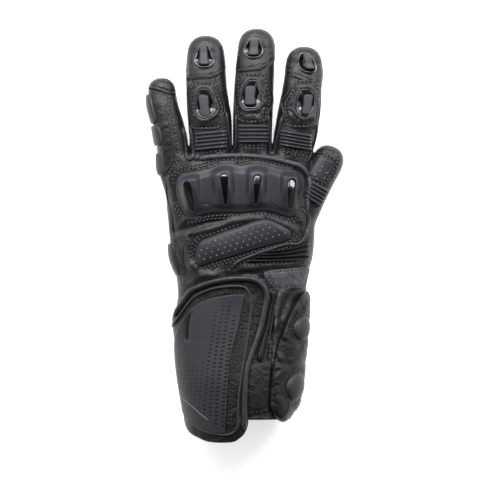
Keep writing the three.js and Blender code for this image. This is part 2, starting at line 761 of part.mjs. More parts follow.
function addCuff() {
  const inner = tubeSolid(cuff, { from: cuffEndY - 1, to: wristY + 1, steps: 5, around: 18, grow: -cuffWall });
  add("cuff", materials.leather, form.cuff(cuffEndY, wristY - gap, 0).subtract(inner));
}

// A slider: a glossy socket with a rounded top, and the matte bar that fills its middle.
function addSlider(name, tube, rows, barRows) {
  const socket = drape(tube, {
    over: overRows(rows),
    columns: 5,
    lines: 5,
    top: (u, v) => socketThick * (0.35 + 0.65 * pillow(u) * pillow(v)),
  });
  add(`${name}_socket`, materials.glossInsert, socket.subtract(windowOver(barRows, gap)));
  const bar = drape(tube, {
    over: overRows(barRows),
    columns: 3,
    lines: 3,
    top: (u, v) => barThick * (0.7 + 0.3 * pillow(u) * pillow(v)),
  });
  add(`${name}_bar`, materials.mouldedShell, bar);
}

// A stretch panel: crests and valleys run across the finger.
function addFolds(name, tube, over, folds, columns, room) {
  const solid = drape(tube, {
    over,
    columns,
    lines: 2 * folds,
    top: (u, v) => (Math.round(v * 2 * folds) % 2 ? foldHigh : foldLow),
  });
  add(name, materials.softLeather, room ? solid.subtract(room) : solid);
}

function addFingerPieces() {
  for (const [name, piece] of Object.entries(joints)) {
    const tube = fingers[name];
    const panel = drape(tube, {
      over: overRows(piece.panel),
      columns: 5,
      lines: 4,
      top: (u, v) => padThick * (0.5 + 0.5 * pillow(u) * pillow(v)),
    });
    add(`${name}_joint_pad`, materials.leather, panel.subtract(windowOver(piece.joint, gap)));
    addSlider(`${name}_joint`, tube, piece.joint, piece.jointBar);
    addSlider(`${name}_tip`, tube, piece.tip, piece.tipBar);
    addFolds(`${name}_folds`, tube, overBox(piece.folds), 4, 5);
  }
  addFolds("thumb_folds", thumb, overBox(thumbFolds), 4, 5, weltRoom());
  const panel = drape(thumb, { over: overBox(thumbPanel), columns: 4, lines: 3, top: () => 1.2 });
  add("thumb_panel", materials.smoothPanel, panel);
}

// Height of the knuckle guard over the hand, with its four bumps.
function guardTop(u, v, x, y) {
  const along = THREE.MathUtils.clamp((y - 16) / 34, 0, 1);
  let rise = 0;
  for (const { upperX, lowerX, half } of bumps) {
    const away = Math.abs(x - THREE.MathUtils.lerp(lowerX, upperX, along)) / half;
    rise = Math.max(rise, Math.exp(-(away ** 4)) * (0.35 + 0.65 * Math.sin(Math.PI * (0.15 + 0.75 * along))));
  }
  const inside = Math.min(1, 4 * Math.min(u, 1 - u) + 0.1, 5 * Math.min(v, 1 - v));
  return guardEdge + (guardBase - guardEdge) * inside + bumpRise * rise * Math.sqrt(inside);
}

function addGuard() {
  const grid = { over: overColumns(guard), columns: 22, lines: 6 };
  let shell = drape(hand, { ...grid, top: guardTop });
  const filling = drape(hand, { ...grid, top: (u, v, x, y) => Math.max(guardTop(u, v, x, y) - slotDepth, 1) });
  slots.forEach((slot, i) => {
    shell = shell.subtract(dropWindow(slot, 0));
    add(`knuckle_insert_${i + 1}`, materials.glossInsert, filling.intersect(dropWindow(slot, -gap)));
  });
  add("knuckle_guard", materials.mouldedShell, shell);
}

function addBack() {
  const pad = drape(hand, {
    over: overColumns(backPad),
    columns: 12,
    lines: 4,
    top: (u, v) => 2.6 * (0.4 + 0.6 * pillow(u) * pillow(v)),
  });
  add("back_pad", materials.smoothPanel, pad);
  addFolds("wrist_folds", hand, overRows(wristFolds), 4, 6, weltRoom());
  const soft = drape(hand, { over: overRows(softPanel), columns: 6, lines: 4, top: () => 1.4 });
  add("soft_panel", materials.softLeather, soft);
  add("knuckle_welt", materials.leather, cordOn(hand, knuckleWelt, weltSides).subtract(form.hand(gap)));
  add("wrist_welt", materials.leather, cordOn(hand, wristWelt, weltSides).subtract(form.hand(gap)));
  for (const [name, { tube, from, to, low, high, thick }] of Object.entries(edgePads)) {
    const [a, b] = [from, to].map(THREE.MathUtils.degToRad);
    const over = (u, v) => [THREE.MathUtils.lerp(b, a, u), THREE.MathUtils.lerp(low, high, v)];
    const top = (u, v) => thick * (0.4 + 0.6 * pillow(u) * pillow(v));
    add(name, materials.mouldedShell, drape(tube, { over, columns: 3, lines: 4, angles: true, top }));
  }
}

function addFlap() {
  const grid = { over: overRows(flap), columns: 11, lines: 10, wraps: true };
  add("cuff_flap", materials.leather, drape(cuff, { ...grid, top: () => flapThick }));
  const room = draped(cuff, { ...grid, bottom: -3, top: () => flapThick + gap });
  const panel = draped(cuff, {
    over: overRows(flapPanel),
    columns: 9,
    lines: 7,
    wraps: true,
    bottom: 1,
    top: () => gap + flapThick + flapPanelThick,
  });
  add("flap_panel", materials.smoothPanel, panel.subtract(room).subtract(form.cuff(cuffEndY, wristY - gap, gap)));
  const piping = cordOn(cuff, flapPiping, { segments: 18, sides: 5, lift: flapThick + gap });
  add("flap_piping", materials.leather, piping.subtract(room));
  const tongue = drape(cuff, { over: overRows(strapTongue), columns: 3, lines: 6, top: () => 2 });
  add("strap_tongue", materials.leather, tongue);
}

function addRoll() {
  const grid = { over: overRows(roll), columns: 6, lines: 9, wraps: true };
  const top = (u, v) => rollThick * (0.45 + 0.55 * pillow(u) * pillow(v));
  add("cuff_roll", materials.leather, drape(cuff, { ...grid, top }));
  const room = draped(cuff, { ...grid, bottom: -3, top: (u, v) => gap + top(u, v) });
  for (const [name, { angle, y, across, along }] of Object.entries(armour)) {
    const middle = THREE.MathUtils.degToRad(angle);
    const reach = across / 40;
    const over = (u, v) => {
      const [a, b] = [2 * u - 1, 2 * v - 1];
      return [middle - a * reach * Math.sqrt(1 - (b * b) / 2), y + b * along * Math.sqrt(1 - (a * a) / 2)];
    };
    const dome = (u, v) => {
      const out = Math.max(Math.abs(2 * u - 1), Math.abs(2 * v - 1));
      return rollThick + 0.6 + armourRise * Math.sqrt(Math.max(0, 1 - out ** 2));
    };
    const bump = draped(cuff, { over, columns: 5, lines: 5, angles: true, bottom: 0.5, top: dome });
    add(name, materials.mouldedShell, bump.subtract(room));
  }
}

addHand();
for (const [name, tube] of Object.entries(fingers)) addFinger(name, tube);
addThumb();
addCuff();
addFingerPieces();
addGuard();
addBack();
addFlap();
addRoll();

export default root;
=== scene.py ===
import math
import bmesh
import bpy
import numpy as np
from mathutils import Matrix, Vector
from mathutils.bvhtree import BVHTree


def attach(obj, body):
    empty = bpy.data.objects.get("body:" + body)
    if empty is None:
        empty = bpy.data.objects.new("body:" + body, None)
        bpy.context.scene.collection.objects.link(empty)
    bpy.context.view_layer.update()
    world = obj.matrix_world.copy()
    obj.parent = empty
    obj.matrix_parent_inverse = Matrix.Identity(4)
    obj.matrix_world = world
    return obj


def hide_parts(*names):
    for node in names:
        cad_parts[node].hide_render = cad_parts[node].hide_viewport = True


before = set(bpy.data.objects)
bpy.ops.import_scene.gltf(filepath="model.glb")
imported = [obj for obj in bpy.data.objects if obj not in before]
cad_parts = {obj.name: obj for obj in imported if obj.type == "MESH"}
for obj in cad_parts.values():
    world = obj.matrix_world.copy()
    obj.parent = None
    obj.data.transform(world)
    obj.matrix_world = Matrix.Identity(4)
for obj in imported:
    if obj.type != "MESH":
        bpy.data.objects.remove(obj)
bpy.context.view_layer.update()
print("frame loaded")

# Everything is worked out in millimetres and made metres as a piece is finished. Outlines are read
# off the photograph, 0.75 mm to a pixel, with the hand's middle at the origin.
pixel = {"size": 0.75, "middleX": 242.5, "middleY": 235.5}


def plan(points):  # pixels of the photograph to millimetres of the glove
    x, y = np.array(points, float).T
    return np.column_stack([(x - pixel["middleX"]) * pixel["size"], (pixel["middleY"] - y) * pixel["size"]])


# The tubes of leather. Rows: y along the tube, x of the middle, half the width, height of the underside
# and of the top.
hand = {"rows": [
    (-46, 0.3, 47.6, 0, 38.5), (-32, 0.3, 48.1, 0, 38), (-24, -0.2, 50.7, 0, 37.5), (-15, -0.3, 53.2, 0, 37),
    (5, -0.6, 54.8, 0, 35.5), (19, -1.6, 55.1, 0, 35), (30, -2.7, 54.9, 0, 34.5), (48, -5.7, 57.1, 0, 32.5),
    (60, -5.9, 57.9, 0, 30),
]}
littleFinger = {"tipY": 118, "tipLength": 12.4, "rows": [
    (50, -50.6, 12.3, 0, 26), (66, -52.5, 12, 0.4, 25.5), (74, -53.4, 12, 1.4, 25),
    (86, -56.1, 11.7, 2.5, 23.5), (98, -59.3, 11.2, 2.2, 21.5), (108, -60.8, 10.6, 0.8, 18.5),
]}
ringFinger = {"tipY": 149.8, "tipLength": 16.8, "rows": [
    (50, -23.1, 15.5, 0, 31), (66, -23.6, 15.7, 0.4, 29.5), (88, -24.8, 16.5, 3, 28.5),
    (110, -27, 15.5, 3.5, 26.5), (122, -27.5, 15.1, 2.6, 24), (137, -27.6, 14, 0.6, 19.5),
]}
middleFinger = {"tipY": 155, "tipLength": 16.5, "rows": [
    (50, 6.6, 14.6, 0, 31.5), (66, 7.2, 14.6, 0.4, 30), (97, 8, 15, 3.6, 28.5), (121, 9.1, 14.7, 3, 25),
    (141, 10.6, 14, 0.6, 20),
]}
indexFinger = {"tipY": 141.5, "tipLength": 16.1, "rows": [
    (50, 36.4, 15.3, 0, 28.5), (65, 37.7, 15.5, 0.4, 28), (80, 40.6, 16.4, 2, 28), (98, 43.2, 15.9, 3.4, 27),
    (110, 44.7, 14.8, 3.4, 25.5), (122, 46.1, 14.4, 2.2, 22.5), (129, 46.2, 13.7, 0.6, 20),
]}
thumb = {"tipY": 91, "tipLength": 15, "foot": (29, -14.7), "turn": math.radians(-26), "rows": [
    (20, 0, 13.9, 1.2, 25), (40, 0, 12.4, 1.2, 25), (60, 0, 12, 1.8, 24), (78, 0.6, 12.1, 0.6, 21.5),
]}
cuff = {"rows": [
    (-154, -2.9, 36.8, 0, 59), (-134, -2.9, 39, 0, 57), (-120, -2.7, 41.4, 0, 55), (-109, -2.9, 43, 0, 53),
    (-94, -3, 44.5, 0, 49.5), (-79, -2.9, 46, 0, 46), (-60, -3.1, 47.4, 0, 42), (-45, -1.7, 46.8, 0, 39.5),
    (-32, -0.9, 48.5, 0, 38), (-26, -0.4, 50, 0, 37.8),
]}
section = {"sideShare": 0.42, "topRound": 2.4, "lowRound": 2.6, "tipRound": 2.5, "flatten": 1.25}


def smoothRead(rows, column, at):  # one column of a table, read smoothly between its rows
    keys = np.array([row[0] for row in rows], float)
    values = np.array([row[column] for row in rows], float)
    at = np.asarray(at, float)
    last = len(keys) - 1
    i = np.clip(np.searchsorted(keys, at, side="right") - 1, 0, last - 1)
    before, after = np.maximum(i - 1, 0), np.minimum(i + 2, last)
    span = keys[i + 1] - keys[i]
    t = np.clip((at - keys[i]) / span, 0, 1)
    slopeA = (values[i + 1] - values[before]) / (keys[i + 1] - keys[before]) * span
    slopeB = (values[after] - values[i]) / (keys[after] - keys[i]) * span
    start = values[i] * (2 * t**3 - 3 * t**2 + 1) + slopeA * (t**3 - 2 * t**2 + t)
    return start + values[i + 1] * (3 * t**2 - 2 * t**3) + slopeB * (t**3 - t**2)


def sectionAt(tube, y, grow):  # middle, half width, side height, reach up and reach down of a grown tube
    low = smoothRead(tube["rows"], 3, y) - grow
    high = smoothRead(tube["rows"], 4, y) + grow
    side = low + (high - low) * section["sideShare"]
    shrink = 1
    if "tipY" in tube:
        along = np.clip((y - tube["tipY"] + tube["tipLength"]) / (tube["tipLength"] + grow), 0, 1)
        shrink = (1 - along ** section["tipRound"]) ** (1 / section["tipRound"])
    half = (smoothRead(tube["rows"], 2, y) + grow) * shrink
    return smoothRead(tube["rows"], 1, y), half, side, (high - side) * shrink, (side - low) * shrink


def signedPower(value, exponent):
    return np.sign(value) * np.abs(value) ** exponent


def outOf(tube, x, y, z):  # from the tube's own frame to the glove's
    if "foot" not in tube:
        return np.stack([x, y, z], -1)
    c, s = math.cos(tube["turn"]), math.sin(tube["turn"])
    return np.stack([c * x - s * y + tube["foot"][0], s * x + c * y + tube["foot"][1], z], -1)


def into(tube, x, y):  # from the glove's frame to the tube's own
    if "foot" not in tube:
        return x, y
    c, s = math.cos(tube["turn"]), math.sin(tube["turn"])
    x, y = x - tube["foot"][0], y - tube["foot"][1]
    return c * x + s * y, c * y - s * x


def aroundTube(tube, angle, y, grow=0.0):  # a point of the skin; angle 0 faces +X, a quarter turn faces up
    angle, y, grow = np.broadcast_arrays(np.asarray(angle, float), np.asarray(y, float),
                                         np.asarray(grow, float))
    x, half, side, up, down = sectionAt(tube, y, grow)
    c, n = np.cos(angle), np.sin(angle)
    upper = n >= 0
    drop = np.minimum(down, down * section["flatten"] * np.abs(n) ** (2 / section["lowRound"]))
    z = np.where(upper, side + up * np.abs(n) ** (2 / section["topRound"]), side - drop)
    across = np.where(upper, signedPower(c, 2 / section["topRound"]), signedPower(c, 2 / section["lowRound"]))
    return outOf(tube, x + half * across, y, z)


def angleAt(tube, x, y, grow=0.0):  # past the widest point the skin runs on underneath
    middle, half, *_ = sectionAt(tube, y, grow)
    across = (x - middle) / half
    over = np.abs(across) - 1
    inside = np.arccos(signedPower(np.clip(across, -1, 1), section["topRound"] / 2))
    beyond = np.where(across < 0, math.pi + over * 2.5, -over * 2.5)
    return np.where(over <= 0, inside, beyond)


def onTube(tube, x, y, height=0.0):  # plan position to a point over the skin
    x, y, height = np.broadcast_arrays(np.asarray(x, float), np.asarray(y, float), np.asarray(height, float))
    x, y = into(tube, x, y)
    return aroundTube(tube, angleAt(tube, x, y, height), y, height)


def lengthAlong(line):
    return np.concatenate([[0], np.cumsum(np.linalg.norm(np.diff(line, axis=0), axis=1))])


def readLine(line, length, at):  # points of a line at distances along it
    return np.stack([np.interp(at, length, line[:, k]) for k in range(line.shape[1])], -1)


def smoothLine(points, spacing, closed=False):  # evenly spaced points of a smooth line
    spots = np.array(points, float)
    count = len(spots)
    t = np.linspace(0, 1, 12, endpoint=False)[:, None]
    parts = []
    for i in range(count if closed else count - 1):
        a, b = spots[i], spots[(i + 1) % count]
        before = spots[i - 1] if closed or i else 2 * a - b
        after = spots[(i + 2) % count] if closed or i + 2 < count else 2 * b - a
        parts.append(0.5 * (2 * a + (b - before) * t + (2 * before - 5 * a + 4 * b - after) * t**2
                            + (3 * a - before - 3 * b + after) * t**3))
    dense = np.concatenate(parts + [spots[:1] if closed else spots[-1:]])
    length = lengthAlong(dense)
    steps = max(2, round(length[-1] / spacing))
    return readLine(dense, length, np.linspace(0, length[-1], steps + 1)[: steps if closed else steps + 1])


def joined(line, extra=1):  # a closed line with its first points once more at its end
    return np.concatenate([line, line[:extra]])


def outlineOf(rows):  # rows run across the piece: y, left end, right end
    leftSide = [(left, y) for y, left, _ in rows]
    rightSide = [(right, y) for y, _, right in reversed(rows)]
    return np.array(leftSide + rightSide, float)


def distanceTo(line, x, y):
    spots = np.stack([np.asarray(x, float).ravel(), np.asarray(y, float).ravel()], -1)
    near = np.full(len(spots), 1e9)
    for a, b in zip(line[:-1], line[1:]):
        way = b - a
        t = np.clip((spots - a) @ way / max(way @ way, 1e-9), 0, 1)
        near = np.minimum(near, np.linalg.norm(spots - a - t[:, None] * way, axis=1))
    return near.reshape(np.shape(x))


def ridge(points, width, height, x, y, spacing=2):  # a soft ridge along a line of the photograph, or a groove
    return height * np.exp(-((distanceTo(smoothLine(plan(points), spacing), x, y) / width) ** 2))


def ridges(lines, x, y, spacing=2):
    return sum(ridge(*line, x, y, spacing) for line in lines)


def insideOf(line, x, y):  # which points lie inside a closed line
    inside = np.zeros(np.shape(x), bool)
    for a, b in zip(line, np.roll(line, -1, axis=0)):
        if a[1] != b[1]:
            inside ^= ((a[1] > y) != (b[1] > y)) & (x < (b[0] - a[0]) * (y - a[1]) / (b[1] - a[1]) + a[0])
    return inside


def softStep(t):
    t = np.clip(t, 0, 1)
    return t * t * (3 - 2 * t)


def rounded(t):  # 0 to 1 over a quarter of a circle
    return np.sqrt(1 - (1 - np.clip(t, 0, 1)) ** 2)


def atEnd(t):  # the two borders of a grid
    return (t < 1e-6) | (t > 1 - 1e-6)


# Meshes.
def gridMesh(across, along, place, bm=None):  # a grid whose (u, v) goes where place puts it
    bm = bm or bmesh.new()
    made = bmesh.ops.create_grid(bm, x_segments=across, y_segments=along, size=0.5)["verts"]
    spots = np.array([vert.co for vert in made])
    for vert, spot in zip(made, place(spots[:, 0] + 0.5, spots[:, 1] + 0.5)):
        vert.co = spot
    return bm


def newObject(name, data):
    made = bpy.data.objects.new(name, data)
    bpy.context.scene.collection.objects.link(made)
    return made


def meshFrom(bm, name):
    mesh = bpy.data.meshes.new(name)
    bm.to_mesh(mesh)
    bm.free()
    return mesh


def workedMesh(holder):  # what an object's modifiers or curve settings make of it
    return bpy.data.meshes.new_from_object(holder.evaluated_get(bpy.context.evaluated_depsgraph_get()))


def closeUp(bm, nearness=0.002):
    bmesh.ops.remove_doubles(bm, verts=bm.verts, dist=nearness)
    bmesh.ops.recalc_face_normals(bm, faces=bm.faces)


def toMetres(bm):
    bmesh.ops.scale(bm, vec=(0.001, 0.001, 0.001), verts=bm.verts)


def dress(piece, material, nodes=()):
    piece.data.materials.append(material)
    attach(piece, "root")
    if nodes:
        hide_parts(*nodes)
    return piece


def addPiece(name, bm, material, nodes=(), backing=0.0):  # backing: thickness inwards
    closeUp(bm)
    toMetres(bm)
    for face in bm.faces:
        face.smooth = True
    piece = dress(newObject(name, meshFrom(bm, name)), material, nodes)
    if backing:
        solid = piece.modifiers.new("backing", "SOLIDIFY")
        solid.thickness = backing * 0.001
        solid.offset = -1
    return piece


def pieceName(node):
    return "".join(word.capitalize() for word in node.split("_"))


def cordPiece(name, lines, radius, material, nodes=()):  # round cords along lines of points
    curve = bpy.data.curves.new(name, "CURVE")
    curve.dimensions = "3D"
    curve.bevel_depth = radius * 0.001
    curve.bevel_resolution = 2
    curve.use_fill_caps = True
    for line in lines:
        spline = curve.splines.new("POLY")
        spline.points.add(len(line) - 1)
        fromEnd = np.minimum(np.arange(len(line)), np.arange(len(line))[::-1])
        for point, spot, number in zip(spline.points, line, fromEnd):
            point.co = (*(spot * 0.001), 1)
            point.radius = min(1, 0.35 + 0.3 * number)
    holder = newObject(name + "Line", curve)
    mesh = workedMesh(holder)
    bpy.data.objects.remove(holder)
    mesh.name = name
    for face in mesh.polygons:
        face.use_smooth = True
    return dress(newObject(name, mesh), material, nodes)


stitch = {"pitch": 3.0, "length": 2.1, "radius": 0.5}
seamShadeLines = []  # dark cords under each row of stitches: the painted shade of the groove that the thread pulls into the leather


def pairOn(tube, x, y, height):  # a line at a height over a tube, and the line 1 mm over it
    return onTube(tube, x, y, height), onTube(tube, x, y, height + 1)


def sewLine(bm, low, high):  # a row of stitches; high lies straight over low
    # each row gets a dark cord a little below it, painted shade of its groove
    seamShadeLines.append(low - 0.2 * (high - low))
    length = lengthAlong(low)
    count = max(2, int(length[-1] / stitch["pitch"]))
    at = (np.arange(count) + 0.5) * length[-1] / count
    ways = readLine(low, length, at + 0.4) - readLine(low, length, at - 0.4)
    for spot, top, way in zip(readLine(low, length, at), readLine(high, length, at), ways):
        x = Vector(way).normalized()
        y = Vector(top - spot).normalized().cross(x).normalized()
        turn = Matrix((x, y, x.cross(y))).transposed().to_4x4()
        stretch = Matrix.Diagonal((stitch["length"] / 2, stitch["radius"], stitch["radius"] * 0.8, 1))
        matrix = Matrix.Translation(Vector(spot)) @ turn @ stretch
        bmesh.ops.create_uvsphere(bm, u_segments=6, v_segments=4, radius=1, matrix=matrix)


def sewRows(bm, rows, place, height):
    for row in rows:
        sewLine(bm, *place(row, height))


# Pads: rings run in from the outline to a short spine. rim: the first rings' insets, which shape the edge.
rim = [0, 0.12, 0.3, 0.55, 0.9, 1.3, 1.7, 2.1, 2.6, 3.2]


def padShape(tube, outline, spine, height, spacing):
    edge = smoothLine(outline, spacing, closed=True)
    spine = np.array(spine, float)
    way = spine[1] - spine[0]
    knots = max(1, int(np.linalg.norm(way) / spacing / 1.2))  # where both sides of the pad meet on the spine
    t = np.rint(np.clip((edge - spine[0]) @ way / max(way @ way, 1e-9), 0, 1) * knots) / knots
    core = spine[0] + t[:, None] * way
    reach = np.linalg.norm(edge - core, axis=1)
    return {"tube": tube, "edge": edge, "core": core, "reach": reach, "height": height}


def padSpot(pad, k, inset):  # plan position of edge point k, moved in by inset
    k = np.asarray(k, float) % len(pad["edge"])
    a = np.floor(k).astype(int)
    b, t = (a + 1) % len(pad["edge"]), (k - a)[..., None]
    edge = pad["edge"][a] * (1 - t) + pad["edge"][b] * t
    core = pad["core"][a] * (1 - t) + pad["core"][b] * t
    reach = np.linalg.norm(edge - core, axis=-1)
    share = np.clip(inset / np.maximum(reach, 1e-6), -9, 1)
    return edge + (core - edge) * share[..., None], share


def padLine(pad, inset, lift):  # a line round the pad, and the line 1 mm over it
    k = np.arange(len(pad["edge"]) + 1)
    spots, share = padSpot(pad, k, inset)
    x, y = spots.T
    high = (pad["height"](np.full(len(k), float(inset)), x, y, share) if inset > 0 else 0) + lift + 0 * x
    return pairOn(pad["tube"], x, y, high)


def padMesh(pad, step=1.5, depth=1.2, edges=rim, sewn=1.0):
    reach, around = pad["reach"], len(pad["reach"])
    inner = max(2, math.ceil((reach.max() - edges[-1]) / step))
    shrink = np.minimum(1, 0.8 * reach / edges[-1])
    rings = [reach, np.zeros_like(reach)]  # these two lie underneath
    rings += [edge * shrink for edge in edges]
    rings += [edges[-1] * shrink + (reach - edges[-1] * shrink) * (j + 1) / inner for j in range(inner)]
    insets = np.array(rings)
    pinned = []

    def place(u, v):
        k = np.rint(u * around).astype(int) % around
        j = np.rint(v * (len(rings) - 1)).astype(int)
        inset, under = insets[j, k], j < 2
        pinned.extend(under | (inset < sewn))
        spots, share = padSpot(pad, k, inset)
        x, y = spots.T
        return onTube(pad["tube"], x, y, np.where(under, -depth, pad["height"](inset, x, y, share)))

    bm = gridMesh(around, len(rings) - 1, place)
    held = bm.verts.layers.float.new("held")
    for vert, pin in zip(bm.verts, pinned):
        vert[held] = float(pin)
    return bm


def addPad(name, tube, outline, spine, height, spacing, material, slot, nodes=(), fill=None, **mesh):
    pad = padShape(tube, outline, spine, height, spacing)
    addPiece(name, padMesh(pad, **mesh), material, nodes)
    return pad


# Cloth is worked at ten times its size, where Blender's cloth settings behave as they do on cushions.
cloth = {"scale": 0.01, "frames": 20, "pressure": 4, "quality": 6}


def pillow(bm, spare, stiff, reach):  # pressure lifts the leather between its seams; spare leather wrinkles
    closeUp(bm)
    held = bm.verts.layers.float["held"]
    draft = bpy.data.meshes.new("clothDraft")
    bm.to_mesh(draft)
    draft.transform(Matrix.Scale(cloth["scale"], 4))
    holder = newObject("clothDraft", draft)
    group = holder.vertex_groups.new(name="held")
    group.add([vert.index for vert in bm.verts if vert[held] > 0.5], 1, "REPLACE")
    sheet = holder.modifiers.new("cloth", "CLOTH")
    settings = sheet.settings
    settings.quality = cloth["quality"]
    settings.vertex_group_mass = "held"
    settings.use_pressure = True
    settings.uniform_pressure_force = cloth["pressure"]
    settings.shrink_min = -spare
    settings.bending_stiffness = stiff
    settings.effector_weights.gravity = 0
    sheet.point_cache.frame_start = 1
    sheet.point_cache.frame_end = cloth["frames"]
    for step in range(1, cloth["frames"] + 1):
        bpy.context.scene.frame_set(step)
    worked = holder.evaluated_get(bpy.context.evaluated_depsgraph_get()).to_mesh()
    moved = 0
    for vert, after in zip(bm.verts, worked.vertices):
        way = after.co / cloth["scale"] - vert.co
        moved = max(moved, way.length)
        if way.length > reach:
            way = way.normalized() * reach
        vert.co += way
    bpy.data.objects.remove(holder)
    bpy.context.scene.frame_set(1)
    print("leather swelled, most", round(moved, 2), "mm")
    return bm


def middleOf(rows, share):  # a short upright spine for an outline given in rows
    ys, left, right = np.array(rows, float).T
    inset = (ys[-1] - ys[0]) * share
    ends = (ys[0] + inset, ys[-1] - inset)
    return [((np.interp(y, ys, left) + np.interp(y, ys, right)) / 2, y) for y in ends]


def sewnHeight(thick, crown, seam, dip, extra=None):  # rolled edge, a stitched dip, then a soft crown
    def height(d, x, y, s):
        high = thick * rounded(d / 0.9) - dip * np.exp(-(((d - seam) / 0.75) ** 2))
        high = high + crown * (1 - (1 - s) ** 2)
        return high + (extra(d, x, y) if extra else 0)
    return height


# Materials.
def colour(text):  # sRGB hex to the linear values that a shader wants
    parts = [int(text[i:i + 2], 16) / 255 for i in (1, 3, 5)]
    return (*[p / 12.92 if p <= 0.04045 else ((p + 0.055) / 1.055) ** 2.4 for p in parts], 1)


def addNode(material, kind, settings=None, links=None):
    node = material.node_tree.nodes.new(kind)
    for key, value in (settings or {}).items():
        if isinstance(key, str) and key in node.bl_rna.properties:
            setattr(node, key, value)
        else:
            node.inputs[key].default_value = value
    for key, socket in (links or {}).items():
        material.node_tree.links.new(socket, node.inputs[key])
    return node


def newMaterial(name):
    material = bpy.data.materials.new(name)
    material.use_nodes = True
    material.node_tree.nodes.clear()
    return material


def finishMaterial(material, settings, links):
    shader = addNode(material, "ShaderNodeBsdfPrincipled", settings, links)
    addNode(material, "ShaderNodeOutputMaterial", None, {"Surface": shader.outputs["BSDF"]})
    return material


def noise(material, size, detail, roughness=0.5, distortion=0.0):  # size in metres, in the piece's own space
    where = addNode(material, "ShaderNodeTexCoord").outputs["Object"]
    return addNode(material, "ShaderNodeTexNoise", {
        "Scale": 1 / size, "Detail": detail, "Roughness": roughness, "Distortion": distortion,
    }, {"Vector": where}).outputs["Fac"]


def blend(material, factor, first, second):  # first: a colour's hex or a socket
    settings, links = {"data_type": "RGBA", "B": colour(second)}, {"Factor": factor}
    if isinstance(first, str):
        settings["A"] = colour(first)
    else:
        links["A"] = first
    return addNode(material, "ShaderNodeMix", settings, links).outputs["Result"]


def spread(material, value, before, after):  # a value brought from one range to another
    limits = dict(zip(("From Min", "From Max", "To Min", "To Max"), (*before, *after)))
    return addNode(material, "ShaderNodeMapRange", limits, {"Value": value}).outputs["Result"]


def edgeWearAndPaintedSheen(material, base, edgeColour, start, most):  # the edge colour on edges that stand out: wear on the leathers, a painted sheen on the moulded materials
    edge = addNode(material, "ShaderNodeNewGeometry").outputs["Pointiness"]
    return blend(material, spread(material, edge, (start, 0.6), (0, most)), base, edgeColour)


def hide(name, dark, light, edgeColour, roughness, grain, wrinkle, shine=0.26):
    # Drum-dyed cowhide with a pigment finish: a fine pebble, soft wrinkles and paler, shinier rubbed edges.
    # The real pebble is about 0.6 mm, less than a pixel, so it is drawn at 1.3 mm.
    material = newMaterial(name)
    pebble = addNode(material, "ShaderNodeTexVoronoi", {
        "feature": "SMOOTH_F1", "Scale": 1 / 0.0013, "Smoothness": 0.6,
    }, {"Vector": addNode(material, "ShaderNodeTexCoord").outputs["Object"]})
    creases = noise(material, 0.009, 5, 0.55, 1.4)
    tone = blend(material, noise(material, 0.03, 3), dark, light)
    folded = addNode(material, "ShaderNodeBump", {"Strength": wrinkle, "Distance": 0.0016},
                     {"Height": creases})
    bumps = addNode(material, "ShaderNodeBump", {"Strength": grain, "Distance": 0.0003, "invert": True},
                    {"Height": pebble.outputs["Distance"], "Normal": folded.outputs["Normal"]})
    return finishMaterial(material, {"IOR": 1.48, "Specular IOR Level": shine}, {
        "Base Color": edgeWearAndPaintedSheen(material, tone, edgeColour, 0.515, 0.75),
        "Roughness": spread(material, creases, (0.3, 0.7), (roughness - 0.06, roughness + 0.08)),
        "Normal": bumps.outputs["Normal"],
    })


def moulded(name, shade, paler, roughness, texture, coat=0.0, shine=0.24):
    # Moulded polyurethane with a fine spark-eroded surface: even and matt, with a faint painted sheen at its
    # rounded edges, a paler base colour where the surface is pointy. The erosion's pits are about 0.1 mm and
    # are drawn at 0.9 mm.
    material = newMaterial(name)
    clouds = noise(material, 0.02, 2)
    bumps = addNode(material, "ShaderNodeBump", {"Strength": texture, "Distance": 0.0002},
                    {"Height": noise(material, 0.0009, 2)})
    finish = {"IOR": 1.5, "Specular IOR Level": shine, "Coat Weight": coat, "Coat Roughness": 0.05}
    return finishMaterial(material, finish, {
        "Base Color": edgeWearAndPaintedSheen(material, blend(material, clouds, shade, paler), paler, 0.51, 0.6),
        "Roughness": spread(material, clouds, (0, 1), (roughness - 0.05, roughness + 0.07)),
        "Normal": bumps.outputs["Normal"],
    })


cowhide = hide("aniline cowhide, pigment finish", "#0f0f11", "#18181b", "#434348", 0.34, 0.35, 0.65,
               shine=0.27)
paddedHide = hide("milled cowhide over foam", "#101012", "#19191c", "#4a4a4f", 0.31, 0.3, 0.65, shine=0.27)
# A darker, less shiny copy of the cowhide, used on the cuff, its flap, roll, side panel and tongue, and on the
# wrist folds.
cuffHide = hide("cowhide of the cuff, darker", "#080809", "#0f0f11", "#2e2e32", 0.4, 0.35, 0.6, shine=0.18)
pipingHide = hide("cowhide rolled round a cord", "#0f0f11", "#18181b", "#2e2e32", 0.33, 0.3, 0.3, shine=0.25)
softHide = hide("goatskin, soft milled", "#2c2c2f", "#3c3c41", "#6c6c71", 0.44, 0.5, 0.6)
foldHide = hide("elasticated leather folds", "#1f1f22", "#2b2b2f", "#5a5a5f", 0.36, 0.25, 0.25)
shell = moulded("thermoplastic polyurethane, spark-eroded mould", "#1f1e22", "#28272c", 0.38, 0.25)
barPlastic = moulded("polyamide slider bar, matt", "#2e2e32", "#38383c", 0.5, 0.3)
gloss = moulded("polished thermoplastic polyurethane", "#040405", "#08080a", 0.07, 0.0, 0.8, 0.4)
panelFilm = moulded("polyurethane coated microfibre", "#1a191d", "#222126", 0.42, 0.3)
# Dark grey thread; its grey is partly a painted highlight, standing in for the sheen along each stitch.
thread = moulded("bonded polyester thread, waxed", "#242427", "#505054", 0.4, 0.2)
blackThread = moulded("bonded polyester thread, black", "#141416", "#303034", 0.4, 0.2)
lining = moulded("knitted polyester lining", "#121214", "#1b1b1e", 0.9, 0.9)
